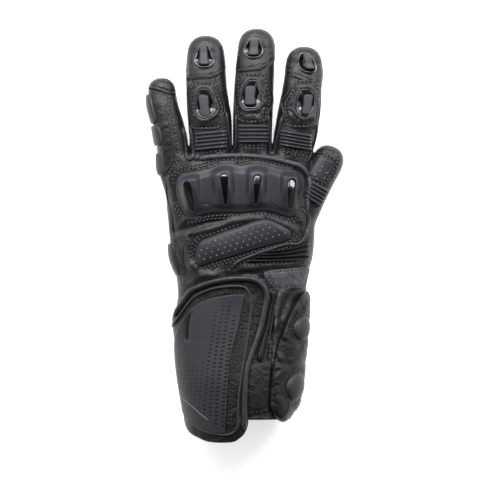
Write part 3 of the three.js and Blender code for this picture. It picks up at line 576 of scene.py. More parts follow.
# Near-black for painted shade: discs over the flap panel's perforations, a pad in its slit and cords under the
# seams.
paintedShade = moulded("painted shade of perforations, the slit and the seams", "#040405", "#070708", 0.9, 0.2)
# Pale grey for painted highlights on the lit walls of perforations.
paintedHoleHighlight = moulded("painted highlight on the lit wall of a perforation", "#6a6a6e", "#8a8a8e", 0.6, 0.2)
print("materials made")

# The leather of the hand and its five fingers, one skin that runs on over the roots.
# It is remeshed "slim" mm thinner and grown back, so that the narrow gaps between the fingers stay open.
skin = {"voxel": 1.5, "wall": 1.8, "smooth": 6, "mouth": -136.6, "slim": 1.1}
# Ridges and valleys of the back: a line of the photograph, width and height in mm.
reliefs = [
    ([(174, 231), (190, 229), (205, 224), (222, 221)], 2.6, -1.5),
    ([(177, 236), (195, 232), (210, 228.5), (230, 222.5), (245, 219.5), (262, 218.5)], 2.4, 1.5),
    ([(272, 220), (285, 225), (295, 231)], 2.2, 1.0),
    ([(180, 224), (186, 219), (196, 220)], 2.0, 0.9),
    ([(186, 240), (186, 252), (190, 263), (200, 271), (222, 276)], 3.2, 1.8),
    ([(191, 236), (193, 246), (192, 258)], 2.2, -1.0),
    ([(196, 268), (215, 274), (236, 276), (258, 272)], 2.6, -1.2),
    ([(240, 269), (255, 267), (270, 265), (290, 264), (304, 262)], 1.8, 1.1),
    ([(164, 176), (166.5, 192), (168, 202), (172.5, 222), (176, 238), (183, 248), (184, 266), (190, 281)],
     1.5, -1.1),
    ([(196, 162), (225, 158), (255, 158), (290, 165)], 2.2, -0.8),
    ([(168, 178), (172, 190), (174, 205)], 2.4, 0.9),
    ([(272, 318), (270.5, 340), (269.5, 365), (269.5, 400), (270, 412)], 1.7, -2.6),
    ([(283, 291), (279, 300), (276.5, 312), (275, 326)], 2.4, 2.0),
    ([(291, 291), (286, 302), (281, 315)], 2.2, -1.2),
    ([(272.5, 296), (271, 308), (270, 320)], 1.6, -1.3),
    ([(262, 366), (264, 385), (265, 405)], 3.0, -0.7),
    ([(176, 252), (184, 262), (196, 268)], 2.0, 1.0),
    ([(188, 283), (200, 277), (216, 274)], 2.2, 0.9),
    ([(236, 269), (250, 273), (262, 279)], 2.2, -0.9),
    ([(296, 214), (303, 222), (305, 233)], 2.2, 0.9),
    ([(158, 128), (162, 145), (165, 160)], 2.6, 0.7),
]


def tubeSolid(bm, tube, start, stop, around, lines):  # a closed tube, over its tip if it has one
    def place(u, v):
        t = np.clip(v * (lines + 2) - 1, 0, lines) / lines
        y = start + (stop - start) * (1 - (1 - t) ** 2.2 if "tipY" in tube else t)
        spots = aroundTube(tube, u * 2 * math.pi, y, -skin["slim"])
        x, _, side, *_ = sectionAt(tube, y, -skin["slim"])
        ends = (v < 0.5 / (lines + 2)) | (v > 1 - 0.5 / (lines + 2))
        spots[ends] = outOf(tube, x + 0 * y, y, side + 0 * y)[ends]
        return spots
    gridMesh(around, lines + 2, place, bm)


def makeSkin():
    bm = bmesh.new()
    tubeSolid(bm, hand, -46, 60, around=72, lines=24)
    tubeSolid(bm, cuff, -150, -27, around=72, lines=30)
    for finger in (littleFinger, ringFinger, middleFinger, indexFinger):
        tubeSolid(bm, finger, 46, finger["tipY"] - skin["slim"], around=40, lines=30)
    tubeSolid(bm, thumb, 20, thumb["tipY"] - skin["slim"], around=40, lines=24)
    closeUp(bm, 0.01)
    draft = newObject("skinDraft", meshFrom(bm, "skinDraft"))
    remesh = draft.modifiers.new("remesh", "REMESH")
    remesh.mode = "VOXEL"
    remesh.voxel_size = skin["voxel"]
    bm = bmesh.new()
    bm.from_mesh(workedMesh(draft))
    bpy.data.objects.remove(draft)
    for _ in range(skin["smooth"]):
        bmesh.ops.smooth_vert(bm, verts=bm.verts, factor=0.5,
                              use_axis_x=True, use_axis_y=True, use_axis_z=True)
    bm.normal_update()
    for vert in bm.verts:
        vert.co += vert.normal * skin["slim"]
    x, y, _ = np.array([vert.co for vert in bm.verts]).T
    facing = np.clip(np.array([vert.normal.z for vert in bm.verts]) * 1.6, 0, 1)
    for vert, lift in zip(bm.verts, ridges(reliefs, x, y) * facing):
        vert.co.z += lift
    return bm


skinMesh = makeSkin()
skinTree = BVHTree.FromBMesh(skinMesh)
print("skin remeshed", len(skinMesh.faces))
bmesh.ops.bisect_plane(skinMesh, geom=skinMesh.verts[:] + skinMesh.edges[:] + skinMesh.faces[:], dist=0.001,
                       plane_co=(0, skin["mouth"], 0), plane_no=(0, -1, 0), clear_outer=True)
tubeNodes = ["hand_shell", "cuff", "little_finger", "ring_finger", "middle_finger", "index_finger", "thumb"]
gloveSkin = addPiece("gloveSkin", skinMesh, cowhide, tubeNodes, backing=skin["wall"])
gloveSkin.data.materials.append(lining)
gloveSkin.modifiers["backing"].material_offset = 1


def dropOn(points, lift, start=90):  # the plan's points let down on the skin, and the same 1 mm further out
    low, high = [], []
    for x, y in points:
        spot, normal, *_ = skinTree.ray_cast(Vector((x, y, start)), Vector((0, 0, -math.copysign(1, start))))
        if spot is None:
            spot, normal, *_ = skinTree.find_nearest(Vector((x, y, 14)))
        low.append(spot + normal * lift)
        high.append(spot + normal * (lift + 1))
    return np.array(low), np.array(high)


def dropUnder(points, lift):  # the same on the palm side, from below
    return dropOn(points, lift, -30)


def skinLine(points, lift):
    return dropOn(smoothLine(plan(points), 1.5), lift)


def pipeSkin(name, lines, lift, radius, nodes=(), material=pipingHide):  # piping sewn on the skin
    cordPiece(name, [skinLine(line, lift)[0] for line in lines], radius, material, nodes)


# Hem: a strip of leather folded over the cuff's edge and sewn through.
hem = {"upper": -131.2, "lower": -137.4, "outside": 0.5, "inside": -2.4}


def placeHem(u, v):  # v runs down the outside, round the edge, and up the inside
    turn = v * 2 * math.pi
    middle, half = (hem["upper"] + hem["lower"]) / 2, (hem["upper"] - hem["lower"]) / 2
    depth, deep = (hem["outside"] + hem["inside"]) / 2, (hem["outside"] - hem["inside"]) / 2
    y = middle + half * signedPower(np.cos(turn), 0.35)
    return aroundTube(cuff, u * 2 * math.pi, y, depth + deep * signedPower(np.sin(turn), 0.35))


addPiece("hemBinding", gridMesh(150, 28, placeHem), cowhide)
print("hem made")

# Fingers.
# Rows run across a piece: y, left end, right end. folds: lower and upper end, left, right, and how
# far the right end lies ahead.
fingerPieces = {
    "ring": {
        "tube": ringFinger, "node": "ring_finger",
        "capSeam": [(-42, 117), (-38, 117.5), (-24, 118), (-19, 120), (-13, 124)],
        "panel": [(80, -38, -18), (88, -38.5, -16.5), (95, -39, -14), (101.5, -39.5, -16), (109, -39, -18.5),
                  (115, -38.5, -19.5)],
        "joint": [(88, -31, -26), (92, -35, -20.5), (95.5, -35.5, -19), (101, -35, -21), (107, -34, -23),
                  (110, -32, -26)],
        "jointBar": [(89.4, -31, -25), (96, -32.2, -25), (104.6, -33, -26)],
        "tip": [(126, -32.5, -25), (130, -36.5, -20.5), (134.5, -35.5, -22), (140.5, -33.5, -24.5),
                (143, -31, -26)],
        "tipBar": [(128.3, -32, -25.6), (134, -32.3, -26), (141.6, -32, -26.6)],
        "folds": (64.2, 78.3, -34.4, -12.6, 2.4), "puffs": [(193, 117), (217, 116)],
    },
    "middle": {
        "tube": middleFinger, "node": "middle_finger",
        "capSeam": [(-6, 123), (-2, 123), (13, 124), (18, 127), (23, 131)],
        "panel": [(85, -1.5, 16), (94, -5, 20), (102.5, -5, 22), (112, -4.5, 19.5), (121, -2, 16)],
        "joint": [(95, 2.5, 9.5), (98.5, -1, 13.5), (102.5, -1.5, 14.5), (108.5, -0.5, 13.5),
                  (113.5, 2, 11.5), (116.5, 5, 10.5)],
        "jointBar": [(98, 2, 9.2), (104, 1.7, 9.4), (111.4, 2.2, 9.6)],
        "tip": [(133, 5, 11.5), (135.5, 1.5, 15), (138.5, 0.5, 16), (144.5, 3, 14), (148, 6.5, 12.5)],
        "tipBar": [(135.4, 5, 11.6), (140, 5.2, 12), (147, 5.9, 12)],
        "folds": (69, 83.2, -2, 18.4, 0), "puffs": [(267, 103), (248, 118), (259, 119)],
    },
    "index": {
        "tube": indexFinger, "node": "index_finger",
        "capSeam": [(30, 123.5), (36, 122.5), (38, 119), (44, 117), (54, 112.5), (62, 112)],
        "panel": [(81.5, 34, 53), (90.5, 31.5, 57), (98.5, 30.5, 58), (107.5, 35.5, 58), (116, 40, 55)],
        "joint": [(89, 44.5, 50), (93.5, 40, 53), (98.5, 39.5, 54.5), (104.5, 41, 54.5), (108.5, 43, 52),
                  (110, 44, 50)],
        "jointBar": [(91, 45, 51), (98, 45.5, 52), (105, 46.3, 52.7)],
        "tip": [(122, 47.5, 54), (125.5, 42.5, 56), (130, 41, 54.5), (134.5, 42, 52), (137, 44, 49)],
        "tipBar": [(125, 48, 54), (130, 46.5, 52.6), (135.6, 45.4, 51)],
        "folds": (65, 77.6, 29.5, 50.6, -4), "puffs": [(289, 115), (301, 122), (312, 117)],
    },
}
slider = {"rimHigh": 3.3, "rimWide": 0.8, "deep": 2.9, "barHigh": 3.9,
          "barEdges": [0, 0.1, 0.25, 0.45, 0.7, 1.1]}
folds = {"count": 5, "low": 1.3, "rise": 1.6, "wider": 1.6, "backing": 0.8}
cap = {"thick": 0.8, "side": 0.15, "seam": 2.2, "dip": 0.35, "past": 0.35, "backing": 0.6}
# The padded panel round a joint slider: it is sewn down outside "sewn" and held near the socket.
jointPadding = {"seam": 1.8, "sewn": 2.4, "held": 1.2, "puff": 0.9, "bowl": 3.9, "lip": 1.1,
                "cloth": {"spare": 0.04, "stiff": 2.0, "reach": 0.9}}
foldSeams = (1.6, 4.2)  # how far below the folds the two rows of stitches run


def socketHeight(d, x, y, s):  # a rounded rim round a glossy bowl
    reach = d / np.maximum(s, 1e-6)
    t = np.clip((d - slider["rimWide"]) / np.maximum(reach - slider["rimWide"], 0.5), 0, 1)
    return slider["rimHigh"] * rounded(d / slider["rimWide"]) - slider["deep"] * (1 - (1 - t) ** 2.2)


def barHeight(d, x, y, s):
    return slider["barHigh"] * rounded(d / 1.1)


def foldHeight(u, v, shape, slope):  # soft ridges over a strip, let into the leather at its borders
    wave = 0.5 - 0.5 * np.cos(2 * math.pi * v * shape["count"])
    high = (shape["low"] + shape["rise"] * wave**0.75) * rounded(np.minimum(u, 1 - u) * slope)
    return np.where(atEnd(u) | atEnd(v), -0.8, high)


def addFolds(name, tube, box, node, own=False):  # own: the box is given in the tube's own frame
    low, high, left, right, rise = box

    def place(u, v):
        x = left - folds["wider"] + (right - left + 2 * folds["wider"]) * u
        y = low + (high - low) * v + rise * (u - 0.5)
        height = foldHeight(u, v, folds, (right - left) / 1.6)
        return aroundTube(tube, angleAt(tube, x, y, height), y, height) if own else onTube(tube, x, y, height)

    addPiece(name, gridMesh(44, folds["count"] * 14, place), foldHide, [node],
             backing=folds["backing"])


def addSlider(name, tube, rows, barRows, node):
    addPad(name + "Socket", tube, outlineOf(rows), middleOf(rows, 0.4), socketHeight, 0.7, gloss,
           "gloss_insert", [node + "_socket"], step=0.8)
    addPad(name + "Bar", tube, outlineOf(barRows), middleOf(barRows, 0.2), barHeight, 0.5, barPlastic,
           "moulded_shell", [node + "_bar"], step=0.8, edges=slider["barEdges"])


def addCap(name, tube, seam):  # the panel over a fingertip, its lower edge sewn down
    seam = np.array(seam, float)
    low, high = -cap["past"], math.pi + cap["past"]

    def seamY(angle):
        x = aroundTube(tube, angle, seam[:, 1].mean())[:, 0]
        return np.interp(x, seam[:, 0], seam[:, 1])

    def place(u, v):
        angle = low + (high - low) * u
        edge = seamY(angle)
        back = (tube["tipY"] + 0.35 - edge) * (1 - (1 - v) ** 1.7)
        inset = np.minimum(back, np.clip(np.minimum(u, 1 - u) * 22, 0, 1) * 3)
        thick = cap["thick"] * rounded(inset / 0.9) - cap["dip"] * np.exp(-(((back - cap["seam"]) / 0.7) ** 2))
        thick = thick * (cap["side"] + (1 - cap["side"]) * np.clip(np.sin(angle), 0, 1) ** 0.7)
        return aroundTube(tube, angle, edge + back, np.where((v < 1e-6) | atEnd(u), -0.6, thick))

    addPiece(name, gridMesh(64, 56, place), paddedHide, backing=cap["backing"])
    angle = np.linspace(low + 0.6, high - 0.6, 60)
    # the cap's seam gets a painted shade line too
    seamShadeLines.append(aroundTube(tube, angle, seamY(angle) - 0.3, -0.1))


fingerStitches = bmesh.new()
for key, piece in fingerPieces.items():
    tube, node = piece["tube"], piece["node"]
    socketLine = joined(smoothLine(outlineOf(piece["joint"]), 1.5, closed=True))

    # the padding stands up round the socket
    def collar(d, x, y, line=socketLine, puffs=plan(piece["puffs"])):
        away = distanceTo(line, x, y)
        full = sum(jointPadding["puff"] * np.exp(-((x - px) ** 2 + (y - py) ** 2) / 7.0) for px, py in puffs)
        bowl = 0.86 - jointPadding["bowl"] * softStep(away / 1.2)
        lip = jointPadding["lip"] * np.exp(-(((away - 0.8) / 1.6) ** 2))
        return full + np.where(insideOf(line, x, y), bowl, lip)

    padded = sewnHeight(1.2, 0.9, jointPadding["seam"], 0.45, collar)
    pad = padShape(tube, outlineOf(piece["panel"]), middleOf(piece["panel"], 0.4), padded, 0.8)
    padding = padMesh(pad, 0.9, sewn=jointPadding["sewn"])
    held = padding.verts.layers.float["held"]
    x, y, _ = np.array([vert.co for vert in padding.verts]).T
    under = insideOf(socketLine, x, y) | (distanceTo(socketLine, x, y) < jointPadding["held"])
    for vert, pinned in zip(padding.verts, under):
        vert[held] = max(vert[held], float(pinned))
    swelled = pillow(padding, **jointPadding["cloth"])
    addPiece(key + "JointPad", swelled, paddedHide, [node + "_joint_pad"])
    sewLine(fingerStitches, *padLine(pad, jointPadding["seam"], 0.05))
    addSlider(key + "Joint", tube, piece["joint"], piece["jointBar"], node + "_joint")
    addSlider(key + "Tip", tube, piece["tip"], piece["tipBar"], node + "_tip")
    addCap(key + "Cap", tube, piece["capSeam"])
    addFolds(key + "Folds", tube, piece["folds"], node + "_folds")
    low, _, left, right, rise = piece["folds"]
    for below in foldSeams:
        y = low - below + rise * (np.linspace(0, 1, 30) - 0.5)
        sewLine(fingerStitches, *pairOn(tube, np.linspace(left, right, 30), y, 0.2))
addCap("littleCap", littleFinger, [(-72, 110.5), (-68, 110.5), (-62, 108.5), (-56, 106.5), (-50, 106)])
print("fingers made")

# Piping in the crotches and along the fingers' sides, sewn over the side strips.
sidePiping = {"radius": 1.6, "slim": 0.8, "crotches": 3, "lines": [
    [(182, 128), (184.5, 140), (185.5, 150), (187, 157), (190, 159.5), (193, 157), (194, 150), (193, 140),
     (190.5, 126)],
    [(225.5, 112), (227, 125), (228.5, 138), (230, 149), (232.5, 153.5), (235.5, 149), (237, 138), (237, 126),
     (236.5, 114)],
    [(267.5, 115), (268.5, 128), (269, 140), (269.5, 151), (272, 155), (275, 151), (277, 142), (280, 130),
     (283, 116)],
    [(317, 122), (316, 134), (313, 146), (310, 156), (307.5, 161)],
    [(216, 77), (218.5, 90), (222, 101), (224.5, 110), (221, 117), (219.5, 127)],
    [(273, 61), (267.5, 67), (266, 72), (268.5, 85), (271.5, 93), (272, 104), (268.5, 111), (265.5, 122)],
    [(239.5, 72), (236.5, 86), (235.3, 99), (236.5, 112), (240.5, 122)],
    [(295.5, 80), (290, 91), (282.5, 102), (283.5, 111), (286.5, 124)],
    [(191.5, 79), (190.5, 95), (190.5, 110), (192.5, 127)],
    [(319, 87), (319.5, 100), (318.5, 115), (314, 130)],
]}
crotches = sidePiping["crotches"]
pipeSkin("crotchPiping", sidePiping["lines"][:crotches], 0.5, sidePiping["radius"])
pipeSkin("sidePiping", sidePiping["lines"][crotches:], 0.35, sidePiping["slim"])
seamPiping = {"radius": 0.6, "lines": [
    [(167, 93), (166.5, 110), (170, 127), (172, 140), (173.5, 150), (173, 158), (171, 165), (167, 170),
     (164.5, 177)],
    [(172, 98), (173, 110), (177, 125), (180, 140), (182, 150), (184.5, 158)],
    [(164, 177), (166, 183), (166.5, 192), (168, 202), (171, 212), (172.5, 222), (173, 232), (176, 238),
     (181, 244), (183, 250), (183.5, 262), (187, 273)],
]}
pipeSkin("seamPiping", seamPiping["lines"], 0.15, seamPiping["radius"])
sewRows(fingerStitches, [
    [(331, 148), (326, 154), (325, 160), (329.5, 166), (330.5, 174), (328.5, 181)],
    [(338, 150), (338.5, 160), (336, 170), (332, 181)],
], skinLine, 0.1)
sewRows(fingerStitches, [
    [(170, 95), (170, 110), (173.5, 125), (176.5, 140), (178, 150), (178, 158), (176, 165), (171, 170),
     (168, 178)],
    [(188.5, 127), (190.5, 140), (191, 150)], [(223, 112), (225, 126), (226, 140), (228, 151)],
], skinLine, 0.05)

# Thumb: stretch folds, the perforated panel and its seams, in the thumb's own frame.
thumbPieces = {
    "folds": (46, 60, -2, 10.4, -1),
    "panel": [(62, -9.5, 3.5), (67, -10.5, 5), (74, -10, 6), (80.5, -8, 5.5)],
    "spine": [(-2.8, 67), (-2.4, 75)],
}
addFolds("thumbFolds", thumb, thumbPieces["folds"], "thumb_folds", own=True)


def thumbPlan(points):  # the thumb's own plan to the glove's
    x, y = np.array(points, float).T
    return outOf(thumb, x, y, 0 * x)[:, :2]


thumbPanel = addPad("thumbPanel", thumb, thumbPlan(outlineOf(thumbPieces["panel"])),
                    thumbPlan(thumbPieces["spine"]), sewnHeight(1.2, 0.3, 1.6, 0.3), 0.8, panelFilm,
                    "smooth_panel", ["thumb_panel"], step=0.9)
sewLine(fingerStitches, *padLine(thumbPanel, -1.2, 0.1))
addPiece("fingerStitches", fingerStitches, thread)
thumbPiping = {"radius": 0.7, "lines": [  # a line of the photograph and its height over the skin
    ([(330, 148), (326, 153), (323.5, 160), (328, 164), (329, 172), (327, 180)], 0.2),
    ([(311, 214), (316, 208), (322, 205.5)], 0.3), ([(311, 160), (311, 175), (309, 190), (310, 205)], 0.3),
]}
cordPiece("thumbPiping", [skinLine(*line)[0] for line in thumbPiping["lines"]], thumbPiping["radius"],
          pipingHide)
print("thumb made")

# Knuckle guard. Bumps: the crest's x at its upper and lower end, and half its width.
guard = {
    "outline": [(176, 190), (177, 180), (181, 175), (188, 172.5), (200, 170.5), (214, 166.5), (222, 163.2),
                (233, 163.2), (240, 165.5), (249, 164), (258, 163), (270, 165.5), (281, 168.5), (291, 169.5),
                (298, 171), (302.5, 175), (305, 184), (303.5, 196), (301, 205), (298, 212), (291, 216.5),
                (284, 216), (274, 212.5), (262, 210.7), (246, 212.5), (230, 212.5), (212, 213), (200, 215.5),
                (191, 217), (185, 214), (180, 205), (177, 197)],
    "spine": [(-37, 31), (34, 32)], "edge": 1.4, "base": 3.4, "rise": 5.0, "wide": 1.1,
    "bumps": [(-41.5, -38, 8.2), (-15.5, -12, 8), (11, 9.5, 7.5), (37, 35, 8)],
    "creases": [([(203, 210), (206, 204), (222, 211)], 0.9, 0.5), ([(271, 203), (280, 210)], 0.9, 0.5)],
}
# Slots: middle of the round end, the point, width, and how far the glossy insert is tipped at its upper end.
slots = [(-41.2, 37.5, -37, 19, 6, 0.02), (-13.8, 43.5, -12.5, 24, 6.2, 0.02),
         (11.2, 42.8, 9.9, 24.4, 6, 0.1), (37, 39.5, 35.4, 21.2, 6.4, 0.15)]
insertEdges = [0, 0.2, 0.5, 0.9, 1.4]


def guardHeight(d, x, y, s=None):
    along = np.clip((y - 15) / 36, 0, 1)
    crest = softStep((y - 15) / 22) * (1 - 0.55 * softStep((y - 44) / 9))
    rise = np.zeros(np.shape(x))
    for upper, lower, half in guard["bumps"]:
        away = np.abs(x - (lower + (upper - lower) * along)) / half
        rise = np.maximum(rise, softStep((1.25 - away) / 0.75) * crest)
    inside = softStep((d - 0.8) / 6)
    middle = (guard["base"] - guard["edge"] + guard["rise"] * rise) * inside
    return guard["edge"] * rounded(d / guard["wide"]) + middle - ridges(guard["creases"], x, y, 1) * inside


def topHeight(x, y):  # the guard's height away from its border
    return guardHeight(9 + 0 * x, x, y)


def dropOutline(slot, grow):
    x, y, pointX, pointY, width, _ = slot
    toPoint = math.atan2(pointY - y, pointX - x)
    angles = toPoint + np.radians(np.linspace(78, 282, 11))
    radius, tip = width / 2 + grow, 1.2 + grow
    ends = toPoint + np.array([-1.6, 0, 1.6])
    foot = [(pointX + tip * math.cos(a), pointY + tip * math.sin(a)) for a in ends]
    return np.array(foot + [(x + radius * math.cos(a), y + radius * math.sin(a)) for a in angles])


def cutSlot(piece, slot, low=20, high=60):  # an upright prism is cut out of a piece
    bm = bmesh.new()
    edge = smoothLine(dropOutline(slot, 0), 0.8, closed=True)
    bottom = bm.faces.new([bm.verts.new((x, y, low)) for x, y in edge])
    top = bmesh.ops.extrude_face_region(bm, geom=[bottom])["geom"]
    topVerts = [element for element in top if isinstance(element, bmesh.types.BMVert)]
    bmesh.ops.translate(bm, vec=(0, 0, high - low), verts=topVerts)
    bmesh.ops.recalc_face_normals(bm, faces=bm.faces)
    toMetres(bm)
    cutter = newObject("slotCutter", meshFrom(bm, "slotCutter"))
    cut = piece.modifiers.new("cut", "BOOLEAN")
    cut.operation = "DIFFERENCE"
    cut.solver = "MANIFOLD"
    cut.object = cutter
    mesh = workedMesh(piece)
    piece.modifiers.clear()
    piece.data = mesh
    bpy.data.objects.remove(cutter)
    piece.data.set_sharp_from_angle(angle=math.radians(40))


guardPad = padShape(hand, plan(guard["outline"]), guard["spine"], guardHeight, 0.9)
guardPiece = addPiece("knuckleGuard", padMesh(guardPad, 0.7, edges=[0, 0.12, 0.3, 0.6, 1.1]), shell,
                      ["knuckle_guard"])
for number, slot in enumerate(slots, 1):
    cutSlot(guardPiece, slot)

    def insertHeight(d, x, y, s, top=slot[1], tip=slot[5]):  # nearly flush, and tipped at its upper end
        domed = topHeight(x, y) - 1.4 + (0.25 + 3 * tip) * rounded(d / 1.2)
        return domed - tip * np.clip(y - top + 5, 0, 9)

    spine = [slot[:2], ((slot[0] + slot[2] * 2) / 3, (slot[1] + slot[3] * 2) / 3)]
    addPad(f"knuckleInsert{number}", hand, dropOutline(slot, -0.05), spine, insertHeight, 0.45, gloss,
           "gloss_insert", [f"knuckle_insert_{number}"], step=0.6, edges=insertEdges, depth=-0.6)
    x, y = joined(smoothLine(dropOutline(slot, 0.15), 0.6, closed=True), 2).T
    cordPiece(f"slotRim{number}", [onTube(hand, x, y, topHeight(x, y) - 0.25)], 0.32, shell)

backStitches = bmesh.new()
for inset in (-2.4, -4.4):
    sewLine(backStitches, *padLine(guardPad, inset, 0.15))
welts = {
    "knuckle": [(200, 159), (212, 157), (230, 156.2), (250, 156.2), (270, 158.5), (285, 161.8), (297, 165),
                (304, 170), (308.5, 178), (310, 185), (309, 193), (307.2, 201), (307, 210)],
    "wrist": [(307.5, 213), (308.5, 220), (307.5, 228), (305, 236), (301.5, 241.5), (296, 244.5),
              (286, 244.5), (268, 250), (250, 256.5), (238, 262), (231, 268)],
}
pipeSkin("knuckleWelt", [welts["knuckle"]], 0.1, 2.1, ["knuckle_welt"], paddedHide)
pipeSkin("wristWelt", [welts["wrist"]], 0.4, 1.3, ["wrist_welt"])
print("knuckle guard made")

# Back of the hand: perforated pad, wrist folds, soft panel.
backPad = {
    "outline": [(196, 262), (199.5, 266), (215, 261), (235, 255.5), (252, 250), (270, 245), (284, 241),
                (290.5, 237.5), (291, 232), (285, 227.2), (275, 222), (267, 219.2), (255, 221), (240, 226.5),
                (225, 231.5), (210, 237), (201, 241), (197.5, 247), (195.5, 256)],
    "spine": [(-27, -12), (27, 3.5)],
}
pad = addPad("backPad", hand, plan(backPad["outline"]), backPad["spine"], sewnHeight(1.6, 1.3, 1.4, 0.3), 0.9,
             panelFilm, "smooth_panel", ["back_pad"], fill=0.4, step=1.2)
for inset in (-1.8, -3.8):
    sewLine(backStitches, *padLine(pad, inset, 0.15))

wristFolds = {  # rows: y, left, right, rise of the right end
    "rows": [(-20, 2.5, 50.5, 1), (-16.5, 7, 51, 2), (-13, 13, 51, 5), (-9, 21.5, 50.5, 7)],
    "count": 4, "low": 1.0, "rise": 1.7,
}


def placeWrist(u, v):
    rows = wristFolds["rows"]
    y = rows[0][0] + (rows[-1][0] - rows[0][0]) * v
    left, right, rise = [smoothRead(rows, column, y) for column in (1, 2, 3)]
    y = y + rise * (u - 0.5) + 1.2 * (u - 0.5) ** 2 * rise
    return onTube(hand, left + (right - left) * u, y, foldHeight(u, v, wristFolds, 14))


addPiece("wristFolds", gridMesh(70, 56, placeWrist), cuffHide, ["wrist_folds"],
         backing=folds["backing"])
softPanel = {
    "outline": [(264, 274), (270, 270.5), (290, 268.5), (308, 267.5), (309, 274), (306.5, 284), (304, 288.5),
                (295, 288), (285, 289.5), (278, 290), (270, 284)],
    "spine": [(27, -33), (44, -33)],
    "creases": [([(283, 272), (282, 290)], 1.6, 0.9), ([(295.5, 270), (295, 286)], 1.5, 0.8),
                ([(272, 273), (276, 284)], 1.6, 0.7)],
}
softHeight = sewnHeight(0.9, 0.3, 1.5, 0.4, lambda d, x, y: ridges(softPanel["creases"], x, y))
soft = addPad("softPanel", hand, plan(softPanel["outline"]), softPanel["spine"], softHeight, 0.9, softHide,
              "soft_leather", ["soft_panel"], step=1.0)
sewLine(backStitches, *padLine(soft, 1.5, -0.1))
sewRows(backStitches, [
    [(308, 260.5), (290, 262), (270, 263), (255, 264.5), (243, 266)],
    [(228, 271), (238, 265), (252, 259), (270, 252.5), (286, 247.5), (300, 246)],
], skinLine, 0.2)
addPiece("backStitches", backStitches, thread)

# Palm side: the raised edges and stitches of two patches, over the heel of the hand and the thumb's root,
# and a double seam down every finger.
palmPatches = {
    "heel": [(-42, -24), (-20, -29), (2, -26), (14, -14), (16, 4), (6, 22), (-14, 34), (-36, 40), (-46, 30),
             (-48, 4)],
    "thumbRoot": [(24, -22), (42, -14), (47, 2), (42, 22), (30, 30), (22, 16), (20, -6)],
}
palmSeams = [
    [(-52, 56), (-53, 76), (-57, 96), (-60, 108)], [(-23, 54), (-24, 80), (-27, 110), (-27.5, 138)],
    [(7, 56), (7.5, 90), (9, 120), (10.5, 142)],
    [(37, 56), (40, 80), (44, 106), (46, 130)], [(-50, 48), (-24, 46), (6, 46), (36, 44)],
    [(-44, -40), (-16, -44), (20, -44), (44, -38)],
    [(0, -50), (-1, -90), (-2, -128)],
]
palmStitches = bmesh.new()
patchEdges = []
for outline in palmPatches.values():
    edge = smoothLine(outline, 1.5, closed=True)
    patchEdges.append(joined(dropUnder(edge, 0.05)[0]))
    middle = edge.mean(axis=0)
    sewLine(palmStitches, *dropUnder(middle + (edge - middle) * 0.93, 0.02))
cordPiece("palmPatchEdges", patchEdges, 0.45, softHide)
for line in palmSeams:
    spots = smoothLine(line, 1.5)
    way = np.gradient(spots, axis=0)
    across = np.stack([-way[:, 1], way[:, 0]], -1) / np.linalg.norm(way, axis=1)[:, None]
    for aside in (-1.3, 1.3):
        sewLine(palmStitches, *dropUnder(spots + across * aside, 0.02))
addPiece("palmStitches", palmStitches, thread)
print("back made")

# Hard pads along the outer edge: tube, first and last angle, lower and upper end, thickness.
edgePads = {
    "edge_pad_fingertip": (littleFinger, 128, 205, 83.5, 106.5, 2.4),
    "edge_pad_finger_middle": (littleFinger, 118, 205, 67, 82.6, 2.6),
    "edge_pad_finger_root": (hand, 152, 195, 44.6, 62, 2.2),
    "edge_pad_hand": (hand, 156, 196, -31.4, -5.6, 2.6),
}


def addEdgePad(node, tube, start, stop, low, high, thick):
    def place(u, v):
        a, b = 2 * u - 1, 2 * v - 1
        half = math.radians(stop - start) / 2
        angle = math.radians((start + stop) / 2) + half * a * np.sqrt(1 - 0.28 * b**4)
        y = (low + high) / 2 + (high - low) / 2 * b * np.sqrt(1 - 0.22 * a**4)
        inset = np.minimum(1 - np.abs(a), (1 - np.abs(b)) * 1.6)
        height = thick * (0.9 * rounded(inset / 0.28) + 0.2 * (1 - a * a) * (1 - b * b)) - 0.5
        return aroundTube(tube, angle, y, np.where(atEnd(u) | atEnd(v), -0.9, height))

    addPiece(pieceName(node), gridMesh(34, 44, place), shell, [node], backing=0.8)


for node, shape in edgePads.items():
    addEdgePad(node, *shape)
print("edge pads made")

# Closing flap.
flap = {
    "outline": [(-154, -24, -8), (-151, -33, -2), (-147.5, -39.5, 1.5), (-141.5, -44, 4), (-134, -46.5, 4.5),
                (-123.5, -51, 4), (-102.5, -54.2, 5), (-86, -55.7, 9.5), (-74.5, -55.7, 13),
                (-62, -54.2, 16.5), (-54.5, -50, 18), (-47.5, -45, 19.5), (-41, -39.5, 18.5), (-37, -32, 16),
                (-33.5, -21.5, 12.5), (-31, -8, 4)],
    "spine": [(-20, -132), (-16, -58)], "thick": 2.4,
}
flapPanel = {
    "outline": [(-147.5, -21.5, -13), (-144.5, -30.5, -13), (-138.5, -38.5, -12.5), (-131, -44.7, -12),
                (-116, -48.2, -11), (-93.5, -51.2, -9), (-78.5, -51.2, -5.5), (-67, -48, -2.5),
                (-59, -42, -1), (-53.5, -37, 0), (-48.5, -29, 1), (-44.5, -12.5, 1.5)],
    "spine": [(-26, -128), (-20, -62)], "thick": 1.5,
}
panelTop = flap["thick"] + flapPanel["thick"]


def flapHeight(d, x, y, s):
    swell = ridge([(250, 300), (251, 320), (247, 350), (243, 385)], 3.5, 0.7, x, y)
    return flap["thick"] * rounded(d / 1.4) + swell


def panelHeight(d, x, y, s):  # pulled in along the slit
    pulled = ridge([(189.5, 314), (187, 325), (187, 338)], 1.7, 1.3, x, y, 1)
    return flap["thick"] + flapPanel["thick"] * rounded(d / 0.9) - pulled


